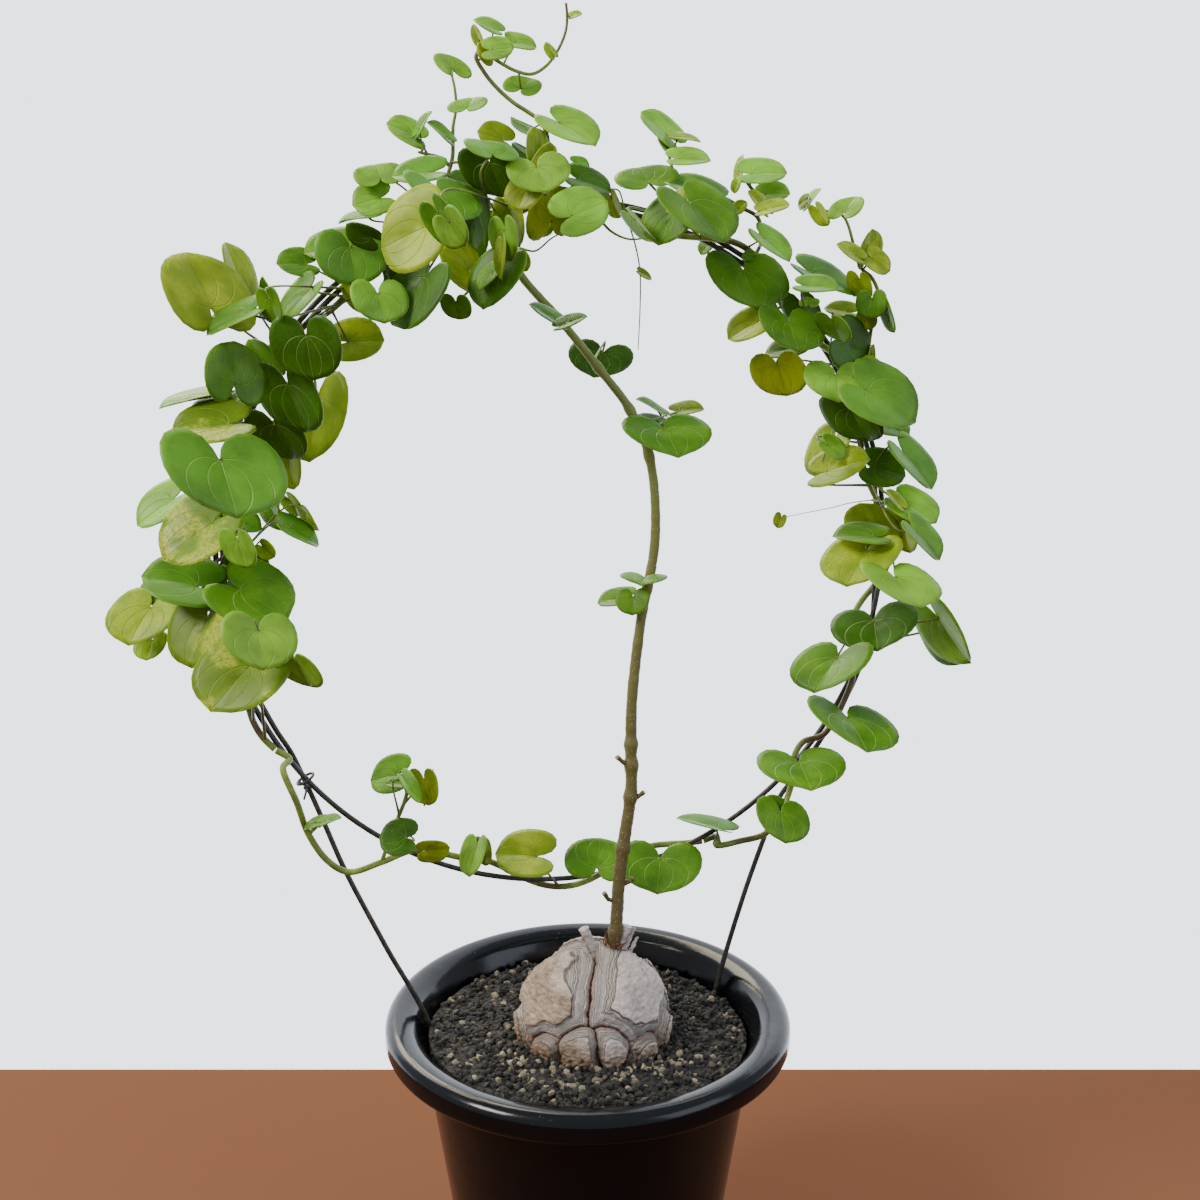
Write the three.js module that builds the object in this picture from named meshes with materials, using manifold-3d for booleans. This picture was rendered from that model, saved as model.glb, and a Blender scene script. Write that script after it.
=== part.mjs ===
// A potted tortoise plant: a corky caudex in a plastic pot of gravel, with one twining stem led up to a round
// wire trellis and wound on round it. Millimetres, +Z up, origin at the middle of the pot's base.
import * as THREE from "three";
import { mergeVertices } from "three/addons/utils/BufferGeometryUtils.js";
import Module from "manifold-3d";

// Driving dimensions
const GAP = 0.35; // between pieces that rest on each other
const POT_HEIGHT = 130;
const POT_RIM_RADIUS = 75;
const POT_MOUTH_RADIUS = 63.8;
const POT_SHOULDER_RADIUS = 61.2; // outside, where the wall meets the rim
const POT_BASE_RADIUS = 44;
const POT_WALL = 1.6;
const POT_SIDES = 32;
const SHOULDER_HEIGHT = 118;
const DRAIN_HOLES = { count: 4, radius: 4.5, circle: 27 };
const SOIL_HEIGHT = 122;
const CAUDEX_RADIUS = 29.3;
const CAUDEX_TALL = 28; // from its middle to its crown
const CAUDEX_MIDDLE = new THREE.Vector3(2, -5, 129.5);
const WIRE_RADIUS = 1;
const RING_RADIUS = 124.5;
const RING_MIDDLE = new THREE.Vector3(-7, 26, 298);
const RING_TURN = 14.7; // degrees, right side farther back
const RING_LEAN = 3.5; // degrees, top farther back
const WIRE_SPACING = 2.35; // from the ring's wire to the arch's beside it
const VINE_RADIUS = 1.2;
const VINE_TURNS = 12; // turns in one round of the ring
const MAIN_STEM_RADII = [2.5, 1.5];
const SHOOT_RADIUS = 0.75;
const LEAF_THICK = 0.62;
const TIP_REACH = 0.56; // from the notch to the tip, for a blade one unit wide
const TILT_SHARE = 0.6; // how much of a blade's foreshortening is tilt, and not a narrower blade
const SMALL_LEAF = 24; // width under which a blade has fewer points

const DEGREE = Math.PI / 180;
const V = (x, y, z) => new THREE.Vector3(x, y, z);

// Solids, joined and cut
const wasm = await Module();
wasm.setup();

function asSolid(geometry) {
  const bare = geometry.clone();
  bare.deleteAttribute("normal");
  bare.deleteAttribute("uv");
  const merged = mergeVertices(bare, 1e-4);
  return new wasm.Manifold(
    new wasm.Mesh({
      numProp: 3,
      vertProperties: new Float32Array(merged.attributes.position.array),
      triVerts: new Uint32Array(merged.index.array),
    }),
  );
}

// A join can leave edges too short to keep. Each goes to one point, unless that would pinch or turn a face.
const SHORTEST_EDGE = 0.04;
const TINY_EDGE = 0.004; // goes whichever way its faces turn
const ROUNDS = 3;
const MOST_TURN = 0.5; // the least cosine between a face's directions before and after

function withoutShortEdges(points, faces) {
  const facesAt = points.map(() => new Set());
  faces.forEach((face, i) => face.forEach((corner) => facesAt[corner].add(i)));
  const around = (corner) => new Set([...facesAt[corner]].flatMap((i) => faces[i]));
  const facing = (corners) => new THREE.Triangle(...corners).getNormal(V(0, 0, 0));
  const canMerge = (kept, gone) => {
    const both = [...around(kept)].filter((corner) => around(gone).has(corner));
    const moved = [...facesAt[gone]].filter((i) => !faces[i].includes(kept));
    const keyOf = (corners) => corners.toSorted((a, b) => a - b).join();
    const there = new Set([...facesAt[kept]].map((i) => keyOf(faces[i])));
    const doubled = moved.some((i) => there.has(keyOf(faces[i].map((corner) => (corner === gone ? kept : corner)))));
    const turns = moved.map((i) => {
      const after = faces[i].map((corner) => points[corner === gone ? kept : corner]);
      return facing(faces[i].map((corner) => points[corner])).dot(facing(after));
    });
    const tiny = points[kept].distanceTo(points[gone]) < TINY_EDGE;
    return both.length === 4 && !doubled && (tiny || turns.every((turn) => turn > MOST_TURN));
  };
  const merge = (kept, gone) => {
    for (const i of facesAt[gone]) {
      if (faces[i].includes(kept)) {
        faces[i].forEach((corner) => facesAt[corner].delete(i));
        faces[i] = null;
      } else {
        faces[i] = faces[i].map((corner) => (corner === gone ? kept : corner));
        facesAt[kept].add(i);
      }
    }
    facesAt[gone].clear();
  };
  const length = ([a, b]) => points[a].distanceTo(points[b]);
  for (let round = 0; round < ROUNDS; round += 1) {
    const pairs = faces.filter(Boolean).flatMap(([a, b, c]) => [
      [a, b],
      [b, c],
      [c, a],
    ]);
    const short = pairs.filter((pair) => length(pair) < SHORTEST_EDGE).sort((p, q) => length(p) - length(q));
    for (const [a, b] of short) {
      const joinedStill = [...facesAt[a]].some((i) => facesAt[b].has(i));
      if (joinedStill && canMerge(a, b)) {
        merge(a, b);
      } else if (joinedStill && canMerge(b, a)) {
        merge(b, a);
      }
    }
  }
  return faces.filter(Boolean);
}

// The faces of the largest skin. A join can shut a pinch of air in, whose small skin is left out.
function largestSkin(faces) {
  const leads = faces.map((_, i) => i);
  const leadOf = (i) => (leads[i] === i ? i : leadOf(leads[i]));
  const faceBeside = new Map();
  faces.forEach(([a, b, c], i) => {
    for (const edge of [[a, b], [b, c], [c, a]]) {
      const key = edge.toSorted((p, q) => p - q).join();
      leads[leadOf(faceBeside.get(key) ?? i)] = leadOf(i);
      faceBeside.set(key, i);
    }
  });
  const skins = Map.groupBy(faces, (_, i) => leadOf(i));
  return [...skins.values()].toSorted((p, q) => q.length - p.length)[0];
}

function asGeometry(solid) {
  const { vertProperties, triVerts } = solid.getMesh();
  const inThrees = (numbers, make) => {
    const starts = Array.from({ length: numbers.length / 3 }, (_, i) => 3 * i);
    return starts.map((start) => make(...numbers.slice(start, start + 3)));
  };
  const points = inThrees(vertProperties, V);
  const faces = inThrees(triVerts, (...corners) => corners);
  return fromFaces(points, largestSkin(withoutShortEdges(points, faces)));
}

function joined(geometries) {
  return geometries.map(asSolid).reduce((sum, next) => sum.add(next));
}

function fromFaces(points, faces) {
  const geometry = new THREE.BufferGeometry();
  geometry.setAttribute(
    "position",
    new THREE.Float32BufferAttribute(
      points.flatMap((p) => [p.x, p.y, p.z]),
      3,
    ),
  );
  geometry.setIndex(faces.flat());
  return geometry;
}

const plant = new THREE.Group();

function addPiece(name, shape, color, roughness) {
  const geometry = shape.isBufferGeometry ? shape : asGeometry(shape);
  const mesh = new THREE.Mesh(geometry, new THREE.MeshStandardMaterial({ color, roughness, metalness: 0 }));
  mesh.name = name;
  plant.add(mesh);
}

const smooth = (points) => new THREE.CatmullRomCurve3(points, false, "centripetal");

// A round bar along a smooth line through points
function bar(points, radius, sides, steps) {
  const section = new THREE.Shape(
    Array.from({ length: sides }, (_, k) => {
      const angle = (k / sides) * 2 * Math.PI;
      return new THREE.Vector2(radius * Math.cos(angle), radius * Math.sin(angle));
    }),
  );
  return new THREE.ExtrudeGeometry(section, { steps, extrudePath: smooth(points), bevelEnabled: false });
}

// The same with a radius for each end
function taperedBar(points, [first, last], sides, steps) {
  const shape = bar(points, 1, sides, steps);
  const middles = smooth(points).getSpacedPoints(steps);
  const places = shape.attributes.position;
  for (let i = 0; i < places.count; i += 1) {
    const place = new THREE.Vector3().fromBufferAttribute(places, i);
    const distances = middles.map((middle) => middle.distanceTo(place));
    const nearest = distances.indexOf(Math.min(...distances));
    const radius = first + ((last - first) * nearest) / steps;
    place.lerpVectors(middles[nearest], place, radius);
    places.setXYZ(i, place.x, place.y, place.z);
  }
  return shape;
}

// The trellis lies in one plane, which stands turned and leans back
const ringAcross = V(Math.cos(RING_TURN * DEGREE), Math.sin(RING_TURN * DEGREE), 0);
const ringFacing = V(Math.sin(RING_TURN * DEGREE), -Math.cos(RING_TURN * DEGREE), 0)
  .multiplyScalar(Math.cos(RING_LEAN * DEGREE))
  .add(V(0, 0, Math.sin(RING_LEAN * DEGREE)));
const ringUp = ringFacing.clone().cross(ringAcross);

function onRing(angle, radius, forward = 0) {
  return RING_MIDDLE.clone()
    .addScaledVector(ringAcross, radius * Math.cos(angle * DEGREE))
    .addScaledVector(ringUp, radius * Math.sin(angle * DEGREE))
    .addScaledVector(ringFacing, forward);
}

const forwardOf = (point) => point.clone().sub(RING_MIDDLE).dot(ringFacing);

// Where the plant is looked at from. A place on a stem or a leaf is given by the two picture coordinates that it
// is seen at, in a square frame 1200 wide, and by how far it stands forward of the trellis.
const EYE = V(4.5, -510.2, 404.7);
const EYE_PITCH = 13.12;
const FOCAL = 1500;
const FRAME_MIDDLE = 600;
const eyeAhead = V(0, Math.cos(EYE_PITCH * DEGREE), -Math.sin(EYE_PITCH * DEGREE));
const eyeUp = V(0, Math.sin(EYE_PITCH * DEGREE), Math.cos(EYE_PITCH * DEGREE));
const eyeRight = V(1, 0, 0);

function seenAt(pictureX, pictureY, forward = 0) {
  const ray = eyeAhead
    .clone()
    .addScaledVector(eyeRight, (pictureX - FRAME_MIDDLE) / FOCAL)
    .addScaledVector(eyeUp, (FRAME_MIDDLE - pictureY) / FOCAL);
  const reach = (forward - forwardOf(EYE)) / ray.dot(ringFacing);
  return EYE.clone().addScaledVector(ray, reach);
}

function pictureOf(point) {
  const from = point.clone().sub(EYE);
  const scale = FOCAL / from.dot(eyeAhead);
  return [FRAME_MIDDLE + from.dot(eyeRight) * scale, FRAME_MIDDLE - from.dot(eyeUp) * scale];
}

const route = (places) => places.map(([x, y, forward]) => seenAt(x, y, forward));

// The pot: a taper with a wide rolled rim and drain holes round the middle of its floor
const POT_FLOOR = 2;
const wallSlope = (POT_SHOULDER_RADIUS - POT_BASE_RADIUS) / SHOULDER_HEIGHT;
const potInside = (height) => POT_BASE_RADIUS + wallSlope * height - POT_WALL;
const potProfile = [
  [0, 0],
  [POT_BASE_RADIUS, 0],
  [POT_SHOULDER_RADIUS, SHOULDER_HEIGHT],
  [POT_RIM_RADIUS - 1.6, SHOULDER_HEIGHT + 2],
  [POT_RIM_RADIUS, SHOULDER_HEIGHT + 4],
  [POT_RIM_RADIUS, POT_HEIGHT - 2.2],
  [POT_RIM_RADIUS - 2.4, POT_HEIGHT],
  [POT_MOUTH_RADIUS, POT_HEIGHT - 2.6],
  [potInside(SHOULDER_HEIGHT + 2) + 0.6, SHOULDER_HEIGHT + 2],
  [potInside(POT_FLOOR), POT_FLOOR],
  [0, POT_FLOOR],
].map(([radius, height]) => new THREE.Vector2(radius, height));
const potShell = new THREE.LatheGeometry(potProfile, POT_SIDES).rotateX(Math.PI / 2);
let pot = asSolid(potShell);
for (let i = 0; i < DRAIN_HOLES.count; i += 1) {
  const angle = ((i + 0.5) / DRAIN_HOLES.count) * 2 * Math.PI;
  const { radius, circle } = DRAIN_HOLES;
  const hole = new THREE.CylinderGeometry(radius, radius, 5 * POT_FLOOR, 8).rotateX(Math.PI / 2);
  hole.translate(circle * Math.cos(angle), circle * Math.sin(angle), 0);
  pot = pot.subtract(asSolid(hole));
}
addPiece("pot", pot, 0x14161b, 0.25);

// The soil: gravel heaped a little round the caudex and lower at the back right, with a pocket for the caudex
// and plain holes for the trellis legs
const SOIL_FOOT = POT_FLOOR + GAP;
const soilWall = potInside(SHOULDER_HEIGHT) - GAP;
function soilTop(x, y) {
  const fromCaudex = Math.hypot(x - CAUDEX_MIDDLE.x, y - CAUDEX_MIDDLE.y);
  const heap = 1.6 * Math.exp(-(((fromCaudex - CAUDEX_RADIUS) / 16) ** 2));
  const slope = -0.022 * x - 0.03 * y;
  const grain = 0.55 * Math.sin(0.9 * x + 1.3 * y) * Math.cos(1.1 * x - 0.7 * y);
  return SOIL_HEIGHT - 1.2 + heap + slope + grain;
}
const soilRings = [0.9, 0.7, 0.5];
const soilProfile = [
  [0, SOIL_FOOT],
  [potInside(POT_FLOOR) - GAP - 0.2, SOIL_FOOT],
  [soilWall, SHOULDER_HEIGHT - 4],
  [soilWall, SOIL_HEIGHT],
  ...soilRings.map((share) => [soilWall * share, SOIL_HEIGHT]),
  [0, SOIL_HEIGHT],
].map(([radius, height]) => new THREE.Vector2(radius, height));
const soilShape = new THREE.LatheGeometry(soilProfile, POT_SIDES).rotateX(Math.PI / 2);
const soilPlaces = soilShape.attributes.position;
for (let i = 0; i < soilPlaces.count; i += 1) {
  if (soilPlaces.getZ(i) > SOIL_HEIGHT - 1) {
    soilPlaces.setZ(i, soilTop(soilPlaces.getX(i), soilPlaces.getY(i)));
  }
}
const POCKET_GAP = 0.95; // a faceted pocket reaches in between its corners
const caudexPocket = new THREE.SphereGeometry(1, 20, 12)
  .rotateX(Math.PI / 2)
  .scale(CAUDEX_RADIUS + POCKET_GAP, CAUDEX_RADIUS + POCKET_GAP, CAUDEX_TALL + POCKET_GAP)
  .translate(CAUDEX_MIDDLE.x, CAUDEX_MIDDLE.y, CAUDEX_MIDDLE.z);

// The trellis: a ring of coated wire, and an arch of the same wire whose legs stand in the soil and which runs
// inside the ring over the top, then crosses behind it at the lower right
const archRadius = RING_RADIUS - WIRE_SPACING;
const bundleRadius = RING_RADIUS - WIRE_SPACING / 2;
const ringWire = new THREE.TorusGeometry(RING_RADIUS, WIRE_RADIUS, 5, 48);
ringWire.applyMatrix4(new THREE.Matrix4().makeBasis(ringAcross, ringUp, ringFacing).setPosition(RING_MIDDLE));
addPiece("ring_wire", ringWire, 0x2b2926, 0.5);

const LEG_DEPTH = 48; // how far the arch's legs reach into the soil
const leftLeg = [V(-51, 2, SOIL_HEIGHT - LEG_DEPTH), V(-58.4, 1.6, SOIL_HEIGHT - 3), seenAt(385, 945)];
const rightLeg = [V(43, 26.5, SOIL_HEIGHT - LEG_DEPTH), V(49.6, 29.8, SOIL_HEIGHT - 3), seenAt(742, 900, -0.6)];
const archAngles = Array.from({ length: 20 }, (_, i) => 208 - i * 10.4);
const archPoints = [
  ...leftLeg,
  ...route([
    [345, 870, -1.2],
    [322, 818, -2.4],
  ]),
  onRing(216, RING_RADIUS - 0.6, -2.4),
  onRing(213, RING_RADIUS - 1.9, -1.7),
  ...archAngles.map((angle) => onRing(angle, archRadius)),
  onRing(359, RING_RADIUS - 2.2, -1),
  onRing(353, RING_RADIUS - 1.2, -2.2),
  onRing(348, RING_RADIUS + 0.4, -2.5),
  onRing(343, RING_RADIUS + 2, -1.7),
  onRing(336, RING_RADIUS + 2.4, -0.8),
  onRing(328, RING_RADIUS + 2.6, -0.6),
  ...route([
    [800, 770, -0.6],
    [779, 798, -1],
    [765, 835, -1],
  ]),
  ...rightLeg.toReversed(),
];
const ARCH_STEPS = 58;
addPiece("arch_wire", bar(archPoints, WIRE_RADIUS, 5, ARCH_STEPS), 0x2b2926, 0.5);

function legHole([foot, top, above]) {
  const below = foot.clone().addScaledVector(top.clone().sub(foot).normalize(), -3);
  return asSolid(bar([below, foot, top, above], WIRE_RADIUS + 2 * GAP, 7, 6));
}
const soil = [asSolid(caudexPocket), legHole(leftLeg), legHole(rightLeg)].reduce(
  (rest, hollow) => rest.subtract(hollow),
  asSolid(soilShape),
);
addPiece("soil", soil, 0x3a3835, 0.95);

// The caudex: a low dome of cork, cracked into stepped plates. The cracks and steps only cut in from a smooth
// ball, and its buried part is smooth, so it seats in its pocket.
const PLATES = [
  { azimuth: 215, height: 28, wide: 1.25 },
  { azimuth: 322, height: 25, wide: 1.3 },
  { azimuth: 95, height: 24, wide: 1.15 },
  { azimuth: 30, height: 8, wide: 0.9 },
  { azimuth: 150, height: 6, wide: 0.9 },
  { azimuth: 258, height: -4, wide: 0.72 },
  { azimuth: 286, height: 2, wide: 0.62 },
  { azimuth: 230, height: -6, wide: 0.66 },
  { azimuth: 315, height: -6, wide: 0.7 },
  { azimuth: 345, height: -2, wide: 0.66 },
  { azimuth: 190, height: -4, wide: 0.7 },
  { azimuth: 60, height: -6, wide: 0.7 },
  { azimuth: 120, height: -8, wide: 0.7 },
];
const plateMiddles = PLATES.map(({ azimuth, height, wide }) => ({
  wide,
  at: V(
    Math.cos(height * DEGREE) * Math.cos(azimuth * DEGREE),
    Math.cos(height * DEGREE) * Math.sin(azimuth * DEGREE),
    Math.sin(height * DEGREE),
  ),
}));
const CRACK_DEPTH = 4.2;
const CRACK_WIDTH = 0.13; // in radians of the ball
const STEP_DEPTH = 1.3;
const STEP_WIDTH = 0.26;
const crownWay = V(0.24, 0.04, 0.97).normalize(); // from the caudex's middle to the foot of the stem
const onCaudex = (way, above = 0) =>
  CAUDEX_MIDDLE.clone().add(
    V(way.x * (CAUDEX_RADIUS + above), way.y * (CAUDEX_RADIUS + above), way.z * (CAUDEX_TALL + above)),
  );

function corkDepth(way) {
  const distances = plateMiddles.map(({ at, wide }) => way.angleTo(at) / wide).sort((a, b) => a - b);
  const crack = CRACK_DEPTH * Math.exp(-(((distances[1] - distances[0]) / CRACK_WIDTH) ** 2));
  const steps = STEP_DEPTH * Math.floor(distances[0] / STEP_WIDTH);
  const above = THREE.MathUtils.smoothstep(way.z, -0.42, -0.2);
  const besideStem = THREE.MathUtils.smoothstep(way.angleTo(crownWay), 0.16, 0.34);
  return above * besideStem * Math.min(crack + steps, CRACK_DEPTH + STEP_DEPTH);
}
const FLAT_FOOT = -0.72; // the caudex's underside is flat below this share of its height
const caudexShape = new THREE.SphereGeometry(1, 24, 15).rotateX(Math.PI / 2);
const caudexPlaces = caudexShape.attributes.position;
for (let i = 0; i < caudexPlaces.count; i += 1) {
  const way = V(caudexPlaces.getX(i), caudexPlaces.getY(i), caudexPlaces.getZ(i)).normalize();
  const depth = corkDepth(way);
  way.z = Math.max(way.z, FLAT_FOOT);
  const place = onCaudex(way, -depth);
  caudexPlaces.setXYZ(i, place.x, place.y, place.z);
}

// The dry ends of old stems stand on the crown
const crownForward = forwardOf(onCaudex(crownWay));
const dryStubs = [
  [
    [598, 978],
    [589, 958],
    [583, 940],
    [580, 928],
  ],
  [
    [628, 975],
    [630, 952],
    [640, 938],
    [651, 930],
  ],
].map((places) => taperedBar(places.map(([x, y]) => seenAt(x, y, crownForward)), [1.7, 1], 5, 4));
addPiece("caudex", joined([caudexShape, ...dryStubs]), 0xa89c8c, 0.9);

// Dry scales stand in a collar round the foot of the stem
const COLLAR_RADIUS = MAIN_STEM_RADII[0] + 2.5 * GAP;
const crownTurn = new THREE.Quaternion().setFromUnitVectors(V(0, 0, 1), crownWay);
const collar = new THREE.LatheGeometry(
  [
    [COLLAR_RADIUS, 0],
    [COLLAR_RADIUS + 1.5, 0],
    [COLLAR_RADIUS + 1, 1.8],
    [COLLAR_RADIUS, 2],
    [COLLAR_RADIUS, 0],
  ].map(([radius, height]) => new THREE.Vector2(radius, height)),
  10,
).rotateX(Math.PI / 2);
const scales = [20, 95, 165, 235, 300].map((azimuth, i) => {
  const scale = new THREE.ConeGeometry(1.6, 7 + (i % 3) * 1.4, 3).rotateX(Math.PI / 2);
  scale.scale(0.45, 1, 1).rotateY(0.5).translate(COLLAR_RADIUS + 1.6, 0, 3.6);
  return scale.rotateZ(azimuth * DEGREE);
});
const scaleCut = asSolid(new THREE.CylinderGeometry(COLLAR_RADIUS, COLLAR_RADIUS, 30, 10).rotateX(Math.PI / 2));
const crownScales = asGeometry(joined([collar, ...scales]).subtract(scaleCut));
const collarFoot = onCaudex(crownWay, 2 * GAP);
crownScales.applyQuaternion(crownTurn).translate(collarFoot.x, collarFoot.y, collarFoot.z);
addPiece("crown_scales", crownScales, 0x6e4226, 0.9);

// Blades: kidney shaped, wider than long, with a deep notch where the petiole joins and a short tip
const HALF_BLADE = [
  [0.23, -0.25],
  [0.5, -0.02],
  [0.36, 0.34],
];
const SMALL_HALF_BLADE = [
  [0.27, -0.22],
  [0.5, 0.06],
];
const NOTCH_HALF = 0.02;
const DROOP = 0.15;
const USUAL_FOLD = 0.22;

function bladeRise(across, along, fold) {
  const side = Math.abs(across);
  return fold * (side - 0.9 * side * side) - DROOP * along * Math.abs(along);
}

// One blade from its row: the picture places of its notch, tip and two widest points, which side comes forward,
// its layer and, where it isn't the usual one, its fold
function readLeaf([notchX, notchY, tipX, tipY, leftX, leftY, rightX, rightY, side, layer, fold = USUAL_FOLD]) {
  const notch = seenAt(notchX, notchY);
  const toEye = EYE.clone().sub(notch);
  const scale = toEye.clone().negate().dot(eyeAhead) / FOCAL;
  toEye.normalize();
  const right = eyeRight.clone().addScaledVector(toEye, -eyeRight.dot(toEye)).normalize();
  const up = toEye.clone().cross(right);
  const midrib = new THREE.Vector2(tipX - notchX, notchY - tipY).multiplyScalar(scale / TIP_REACH);
  const span = new THREE.Vector2(rightX - leftX, leftY - rightY).multiplyScalar(scale);
  const difference = span.lengthSq() - midrib.lengthSq();
  const product = -midrib.dot(span);
  const root = Math.hypot(difference, 2 * product);
  const other = product < 0 ? -1 : 1;
  const midribSign = difference > 0 ? side : side * other;
  const spanSign = difference > 0 ? side * other : side;
  const midribDeep = midribSign * Math.sqrt((root + difference) / 2);
  const spanDeep = spanSign * Math.sqrt((root - difference) / 2);
  const inSpace = (flat, deep) =>
    V(0, 0, 0)
      .addScaledVector(right, flat.x)
      .addScaledVector(up, flat.y)
      .addScaledVector(toEye, deep * TILT_SHARE);
  const along = inSpace(midrib, midribDeep);
  const across = inSpace(span, spanDeep);
  const facing = across.clone().cross(along).normalize();
  if (facing.dot(toEye) < 0) {
    facing.negate();
    across.negate();
  }
  const width = Math.max(along.length(), across.length());
  return { notchX, notchY, layer, fold, along, across, facing, width, toTrellis: scale };
}

// The place of a blade's notch when it stands forward of the trellis, and how much smaller the blade then is to
// look as big
function standing(leaf, forward) {
  const notch = seenAt(leaf.notchX, leaf.notchY, forward);
  const scale = notch.clone().sub(EYE).dot(eyeAhead) / FOCAL;
  return { notch, share: scale / leaf.toTrellis };
}

function bladePoint(leaf, { notch, share }, across, along, lift = 0) {
  const rise = bladeRise(across, along, leaf.fold) * leaf.width;
  return notch
    .clone()
    .addScaledVector(leaf.across, across * share)
    .addScaledVector(leaf.along, along * share)
    .addScaledVector(leaf.facing, rise * share + lift);
}

function bladeOutline(leaf) {
  const half = leaf.width < SMALL_LEAF ? SMALL_HALF_BLADE : HALF_BLADE;
  const mirrored = half.toReversed().map(([across, along]) => [-across, along]);
  return [[NOTCH_HALF, 0], ...half, [0, TIP_REACH], ...mirrored, [-NOTCH_HALF, 0]];
}

// Stems of the vine: windings that lie close round both wires, and free shoots that start at the windings
const WINDING_ACROSS = 4.2; // from the middle of the two wires to the middle of the vine, in the ring's plane
const WINDING_FORWARD = 3.4; // the same in front of the wires and behind them
const WINDING_STEP = 2.5; // degrees of the ring
const PHASE_AT_RIGHT = 40; // how far round the wires the vine is where it passes the ring's right side

const CROSSING = { from: 336, to: 360, room: 2.2 }; // the vine is looser where the arch crosses behind the ring

function onVine(angle, out = 0) {
  const phase = (VINE_TURNS * angle + PHASE_AT_RIGHT) * DEGREE;
  const share = THREE.MathUtils.clamp((angle - CROSSING.from) / (CROSSING.to - CROSSING.from), 0, 1);
  const room = out + CROSSING.room * Math.sin(share * Math.PI) ** 2;
  const across = (WINDING_ACROSS + room) * Math.cos(phase);
  return onRing(angle, bundleRadius + across, (WINDING_FORWARD + room) * Math.sin(phase));
}

const STEM_STEP = 6.2; // between the sections of a green stem, and more on the main stem
const JOIN = ((0.7 * GAP) / RING_RADIUS) * (180 / Math.PI); // degrees of the ring from a winding's end to its limit

function stem(points, radius = VINE_RADIUS, sides = 5) {
  const step = sides < 7 ? STEM_STEP : 2.5 * STEM_STEP;
  const steps = Math.max(3, Math.round(smooth(points).getLength() / step));
  return { points, radius, sides, steps, sections: smooth(points).getSpacedPoints(steps) };
}

function wound(from, to) {
  const [start, end] = [from + JOIN, to - JOIN];
  const count = Math.round((end - start) / WINDING_STEP);
  return stem(Array.from({ length: count + 1 }, (_, i) => onVine(start + ((end - start) * i) / count)));
}

const shoot = (places) => stem(route(places), SHOOT_RADIUS, 4);

function shootFrom(angle, places) {
  const start = VINE_RADIUS + 1.6 * GAP;
  return stem([onVine(angle, start), onVine(angle, start + 2), ...route(places)], SHOOT_RADIUS, 4);
}

// The main stem stands on the crown and ends against the winding that goes on from it
const STEM_TOP_ANGLE = 102; // on the ring
const stemFoot = [GAP, 4].map((above) => onCaudex(crownWay, above));
const joint = onVine(STEM_TOP_ANGLE);
const nearJoint = seenAt(520, 274, 6);
const toStem = nearJoint.clone().sub(joint).normalize();
const stemHead = [nearJoint, joint.clone().addScaledVector(toStem, VINE_RADIUS + 2 * GAP)];

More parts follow.
